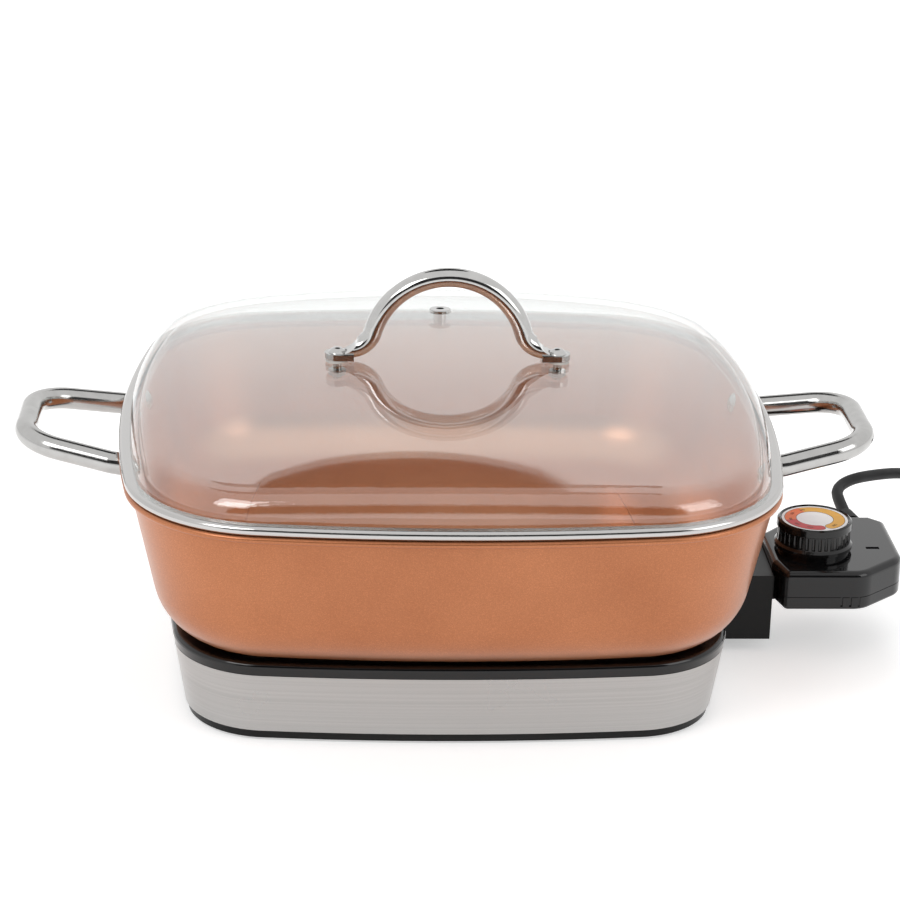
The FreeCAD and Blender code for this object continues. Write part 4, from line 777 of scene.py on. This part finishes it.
@dataclass
class MainsLead:
    """Free mains lead: out of the strain relief, down to the table, and wound up beside the skillet."""

    exit: Vector = Vector((0.2148, 0.06405, 0.0425))
    diameter: float = 0.0065
    length: float = 0.874
    lying_height: float = 0.0034
    # Each point lies this far right of the exit and behind it, at this share of the exit's height.
    route: tuple[tuple[float, float, float], ...] = (
        (0.0, 0.020, 1.0),
        (0.002, 0.041, 0.985),
        (0.014, 0.062, 0.93),
        (0.035, 0.091, 0.72),
        (0.0575, 0.122, 0.45),
        (0.079, 0.144, 0.17),
        (0.100, 0.155, 0.0),
    )
    # The coil's middle lies this far right of the exit and behind it.
    coil_across: float = 0.124
    coil_along: float = 0.1935
    coil_radius: float = 0.0385
    coil_pitch: float = 0.0081
    coil_rise: float = 0.00695
    turns_in: float = 1.25
    turns_climb: float = 0.5
    points_per_turn: int = 24
    # Points from the end of the coil to the plug.
    tail: tuple[tuple[float, float, float], ...] = (
        (0.0, 0.0, 0.0),
        (0.008, 0.0, 0.0),
        (0.018, -0.0006, 0.0001),
        (0.025, 0.0, 0.0),
        (0.030, 0.0, 0.0),
    )
    round_steps: int = 5
    bend_steps: int = 6

    def coil_point(self, turns: float) -> Vector:
        """Point of the coil, which winds in, climbs a layer and winds out again.

        Args:
            turns: How many turns the lead has made.

        Returns:
            The point.
        """
        first_out = self.turns_in + self.turns_climb
        inwards = min(turns, self.turns_in)
        if turns > first_out:
            inwards = self.turns_in - (turns - first_out)
        climb = min(max((turns - self.turns_in) / self.turns_climb, 0.0), 1.0)
        smooth = climb * climb * (3.0 - 2.0 * climb)
        inset = math.cos(math.pi / self.points_per_turn)
        radius = (self.coil_radius - self.coil_pitch * inwards) / inset
        angle = 2.0 * math.pi * turns - math.pi / 2.0
        return Vector((
            self.exit.x + self.coil_across + radius * math.cos(angle),
            self.exit.y + self.coil_along + radius * math.sin(angle),
            self.lying_height + self.coil_rise * smooth,
        ))

    def points(self) -> list[Vector]:
        """Control points of the whole lead.

        Returns:
            The points, from its exit to the plug.
        """
        drop = self.exit.z - self.lying_height
        found = [self.exit.copy()]
        for across, along, share in self.route:
            height = self.lying_height + drop * share
            found.append(Vector((self.exit.x + across, self.exit.y + along, height)))
        turns = 2.0 * self.turns_in + self.turns_climb
        steps = round(turns * self.points_per_turn)
        straight = Vector((self.diameter, 0.0, 0.0))
        found.append(self.coil_point(0.0) - straight)
        for step in range(steps + 1):
            found.append(self.coil_point(turns * step / steps))
        end = self.coil_point(turns) + straight
        end.y = self.exit.y + self.coil_along - self.coil_radius
        for offset in self.tail:
            found.append(end + Vector(offset))
        return found

    def build(self, frame: dict[str, Any], finish: Moulding) -> bpy.types.Object:
        """Args:
            finish: The lead's rubber.

        Returns:
            The lead's curve object.
        """
        data = bpy.data.curves.new("mains_lead", "CURVE")
        data.dimensions = "3D"
        data.bevel_depth = self.diameter / 2.0
        data.bevel_resolution = self.round_steps
        data.resolution_u = self.bend_steps
        data.use_fill_caps = True
        spline = data.splines.new("NURBS")
        places = self.points()
        spline.points.add(len(places) - 1)
        for point, where in zip(spline.points, places):
            point.co = (*where, 1.0)
        spline.order_u = 3
        spline.use_endpoint_u = True
        data.materials.append(finish.make())
        lead = bpy.data.objects.new("mains_lead", data)
        bpy.context.scene.collection.objects.link(lead)
        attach(lead, "control")
        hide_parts("mains_cord", "cord_coil", "cord_tail")
        log.info("mains_lead: %d control points", len(places))
        return lead


# Dial print


@dataclass
class DialPrint:
    """Heat scale printed on the dial: a coloured ring with a gap, plain numbers and OFF."""

    plate: str = "dial_plate"
    outer: float = 15.7 * MM
    inner: float = 9.9 * MM
    outline: float = 0.28 * MM
    layer: float = 0.03 * MM
    # All angles are in degrees, anticlockwise from the right.
    first_angle: float = -58.0
    orange_angle: float = 113.0
    red_angle: float = 187.0
    last_angle: float = 272.0
    letter_high: float = 2.2 * MM
    letter_lift: float = 0.105 * MM
    ink_relief: float = 0.03
    steps_per_turn: int = 96
    end_steps: int = 16
    marks: tuple[tuple[str, float], ...] = (
        ("OFF", -47.0),
        ("200", 112.0),
        ("250", 148.0),
        ("300", 184.0),
        ("350", 216.0),
        ("400", 250.0),
    )

    def middle(self, lift: float) -> Vector:
        """Point at this height over the middle of the dial plate."""
        low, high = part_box(self.plate)
        return Vector(((low.x + high.x) / 2.0, (low.y + high.y) / 2.0, high.z + lift))

    def sector(self, name: str, radii: tuple[float, float], angles: tuple[float, float],
               lift: float, ink: bpy.types.Material, caps: tuple[bool, bool]) -> bpy.types.Object:
        """Part of a flat ring, spun from one radial strip, with a round end where it is asked for.

        Args:
            name: The piece's name.
            radii: Inner and outer radius.
            angles: First and last angle in degrees, anticlockwise.
            lift: Height of the layer's underside over the dial plate.
            ink: Its material.
            caps: Whether the first and the last end are round.

        Returns:
            The new object.
        """
        inner, outer = radii
        first, last = (math.radians(angle) for angle in angles)
        mesh = bmesh.new()
        start = Vector((math.cos(first), math.sin(first), 0.0))
        edge = [mesh.verts.new(start * radius) for radius in (inner, outer)]
        strip = mesh.edges.new(edge)
        steps = max(2, round(self.steps_per_turn * (last - first) / (2.0 * math.pi)))
        bmesh.ops.spin(mesh, geom=[*edge, strip], cent=(0.0, 0.0, 0.0), axis=UPWARDS,
                       angle=last - first, steps=steps)
        for wanted, angle, way in zip(caps, (first, last), (-1.0, 1.0)):
            if wanted:
                towards = Vector((math.cos(angle), math.sin(angle), 0.0))
                hub = towards * ((inner + outer) / 2.0)
                ends = [mesh.verts.new(hub), mesh.verts.new(towards * outer)]
                spoke = mesh.edges.new(ends)
                bmesh.ops.spin(mesh, geom=[*ends, spoke], cent=hub, axis=UPWARDS,
                               angle=way * math.pi, steps=self.end_steps)
        bmesh.ops.remove_doubles(mesh, verts=mesh.verts, dist=SAME_POINT)
        raised = bmesh.ops.extrude_face_region(mesh, geom=list(mesh.faces))
        lifted = [item for item in raised["geom"] if isinstance(item, bmesh.types.BMVert)]
        bmesh.ops.translate(mesh, verts=lifted, vec=(0.0, 0.0, self.layer))
        bmesh.ops.translate(mesh, verts=mesh.verts, vec=self.middle(lift))
        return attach(piece_from(name, mesh, ink), "knob")

    def letters(self, text: str) -> bmesh.types.BMesh:
        """Flat letters round the origin.

        Args:
            text: The letters.

        Returns:
            Their bmesh.
        """
        curve = bpy.data.curves.new("dial_mark_curve", "FONT")
        curve.body = text
        curve.size = self.letter_high
        curve.align_x = "CENTER"
        curve.align_y = "CENTER"
        curve.extrude = self.layer / 2.0
        written = bpy.data.objects.new("dial_mark_text", curve)
        bpy.context.scene.collection.objects.link(written)
        bpy.context.view_layer.update()
        mesh = bmesh.new()
        mesh.from_mesh(written.to_mesh())
        written.to_mesh_clear()
        bpy.data.objects.remove(written)
        return mesh

    def mark(self, number: int, text: str, angle: float, ink: bpy.types.Material) -> bpy.types.Object:
        """One mark on the ring, its foot towards the middle.

        Args:
            number: Its number among the marks, for its name.
            text: The mark's letters.
            angle: Its place in degrees, anticlockwise from the right.
            ink: Its material.

        Returns:
            The new object.
        """
        mesh = self.letters(text)
        radius = (self.inner + self.outer) / 2.0
        turn = math.radians(angle)
        centre = self.middle(self.letter_lift)
        centre += Vector((radius * math.cos(turn), radius * math.sin(turn), 0.0))
        place = Matrix.Translation(centre) @ Matrix.Rotation(turn - math.pi / 2.0, 4, "Z")
        bmesh.ops.transform(mesh, matrix=place, verts=mesh.verts)
        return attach(piece_from(f"dial_mark_{number}", mesh, ink), "knob")

    def build(self) -> None:
        """Print the whole scale."""
        dark = Moulding("ink_dark", (0.07, 0.03, 0.02), Sheen.SATIN).make()
        wide = (self.inner - self.outline, self.outer + self.outline)
        self.sector("dial_outline", wide, (self.first_angle, self.last_angle), 0.0, dark, (True, True))
        parts = (
            ("yellow", (0.71, 0.37, 0.045), self.first_angle, self.orange_angle, (True, False)),
            ("orange", (0.75, 0.155, 0.035), self.orange_angle, self.red_angle, (False, False)),
            ("red", (0.53, 0.04, 0.045), self.red_angle, self.last_angle, (False, True)),
        )
        for name, colour, first, last, caps in parts:
            ink = Moulding(f"ink_{name}", colour, Sheen.SATIN, relief=self.ink_relief).make()
            self.sector(f"dial_{name}", (self.inner, self.outer), (first, last), self.layer, ink, caps)
        for number, (text, angle) in enumerate(self.marks, start=1):
            self.mark(number, text, angle, dark)


# Sub-assemblies


@dataclass
class Pan:
    """Copper-coated pan with two riveted steel handles."""

    bowl: tuple[str, ...] = ("pan_shell",)
    steel: tuple[str, ...] = ("left_handle", "right_handle", "handle_rivets")

    def dress(self, frame: dict[str, Any]) -> None:
        """Give the pan its finishes.
        """
        give(frame, self.bowl, CopperCoating())
        give(frame, self.steel, Metal("polished_steel_pan", (0.50, 0.495, 0.485), (0.10, 0.18)))


@dataclass
class Lid:
    """Glass lid in a steel band, with its arched handle and steam vent."""

    glass: tuple[str, ...] = ("lid_glass",)
    band: tuple[str, ...] = ("lid_rim_band",)
    bright: tuple[str, ...] = ("lid_handle", "lid_handle_screws", "vent_eyelet")
    plain: tuple[str, ...] = ("lid_handle_nuts",)
    soft: tuple[str, ...] = ("lid_handle_washers",)

    def dress(self, frame: dict[str, Any]) -> None:
        """Give the lid its finishes.
        """
        give(frame, self.glass, ClearGlass())
        rolled = Metal("polished_steel_band", (0.56, 0.55, 0.54), (0.12, 0.18), Grain.LEVEL)
        give(frame, self.band, rolled)
        give(frame, self.bright, Metal("polished_steel_lid", (0.56, 0.555, 0.545), (0.06, 0.12)))
        give(frame, self.plain, Metal("plain_steel_nut", (0.45, 0.45, 0.44), (0.3, 0.4)))
        give(frame, self.soft, Moulding("clear_silicone", (0.55, 0.55, 0.53), Sheen.SATIN))


@dataclass
class HeatedBase:
    """Base: glossy lip, brushed steel band, black frame, and the heater inside."""

    lip: tuple[str, ...] = ("base_lip_ring",)
    band: tuple[str, ...] = ("steel_band",)
    black: tuple[str, ...] = ("base_frame", "socket_shroud")
    cast: tuple[str, ...] = ("heater_plate", "heat_reflector")
    plain: tuple[str, ...] = (
        "bottom_plate",
        "heating_element",
        "terminal_pins",
        "heater_posts",
        "base_screws",
    )
    clay: tuple[str, ...] = ("terminal_insulators",)
    feet: tuple[str, ...] = ("rubber_feet",)

    def dress(self, frame: dict[str, Any]) -> None:
        """Give the base its finishes.
        """
        glossy = Moulding("gloss_black_lip", (0.004, 0.004, 0.004), Sheen.GLOSS, relief=0.02)
        give(frame, self.lip, glossy)
        brushed = Metal("brushed_steel_band", (0.46, 0.452, 0.443), (0.20, 0.28), Grain.LEVEL, 0.12)
        give(frame, self.band, brushed)
        give(frame, self.black, Moulding("matte_black_base", (0.007, 0.007, 0.007), Sheen.SATIN))
        give(frame, self.cast, Metal("cast_aluminium", (0.55, 0.55, 0.55), (0.35, 0.5), Grain.NONE, 0.3))
        give(frame, self.plain, Metal("plain_steel", (0.50, 0.50, 0.49), (0.25, 0.4), Grain.ACROSS, 0.1))
        give(frame, self.clay, Moulding("white_clay", (0.75, 0.73, 0.68), Sheen.MATTE))
        give(frame, self.feet, Moulding("foot_rubber", (0.020, 0.020, 0.020), Sheen.MATTE))


@dataclass
class HeatControl:
    """Plug-in heat control with its knob, sensing rod and contacts."""

    shells: tuple[str, ...] = ("control_upper_shell", "control_lower_shell")
    knob: tuple[str, ...] = ("control_knob",)
    dial: tuple[str, ...] = ("dial_plate",)
    inner: tuple[str, ...] = ("contact_carrier", "thermostat_switch")
    rod: tuple[str, ...] = ("sensing_rod", "knob_shaft")
    brass: tuple[str, ...] = ("contact_sleeves", "bimetal_strip", "plug_blades")
    rubber: tuple[str, ...] = ("strain_relief", "plug_body")

    def dress(self, frame: dict[str, Any], rubber: Moulding) -> None:
        """Give the control its finishes.

        Args:
            rubber: The lead's rubber, which the strain relief and the plug share.
        """
        glossy = Moulding("gloss_black_control", (0.006, 0.006, 0.0065), Sheen.GLOSS, relief=0.02)
        give(frame, self.shells, glossy)
        give(frame, self.knob, Moulding("knob_black", (0.006, 0.006, 0.006), Sheen.GLOSS, relief=0.02))
        give(frame, self.dial, Moulding("dial_white", (0.80, 0.80, 0.81), Sheen.SATIN, relief=0.02))
        give(frame, self.inner, Moulding("inner_black", (0.02, 0.02, 0.02), Sheen.MATTE))
        give(frame, self.rod, Metal("rod_steel", (0.55, 0.55, 0.54), (0.2, 0.3)))
        give(frame, self.brass, Metal("brass", (0.68, 0.50, 0.20), (0.2, 0.32)))
        give(frame, self.rubber, rubber)


def main() -> None:
    """Build the scene: camera and lead first, then the finishes, the dial and the studio."""
    logging.basicConfig(level=logging.INFO, format="%(message)s")
    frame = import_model()
    StudioCamera().build()
    rubber = Moulding("lead_rubber", (0.007, 0.007, 0.0073), Sheen.MATTE, 1200.0, 0.2)
    MainsLead().build(frame, rubber)
    Pan().dress(frame)
    Lid().dress(frame)
    HeatedBase().dress(frame)
    HeatControl().dress(frame, rubber)
    DialPrint().build()
    Studio().build()
    bpy.context.scene.view_settings.view_transform = "Standard"


if __name__ == "__main__":
    main()
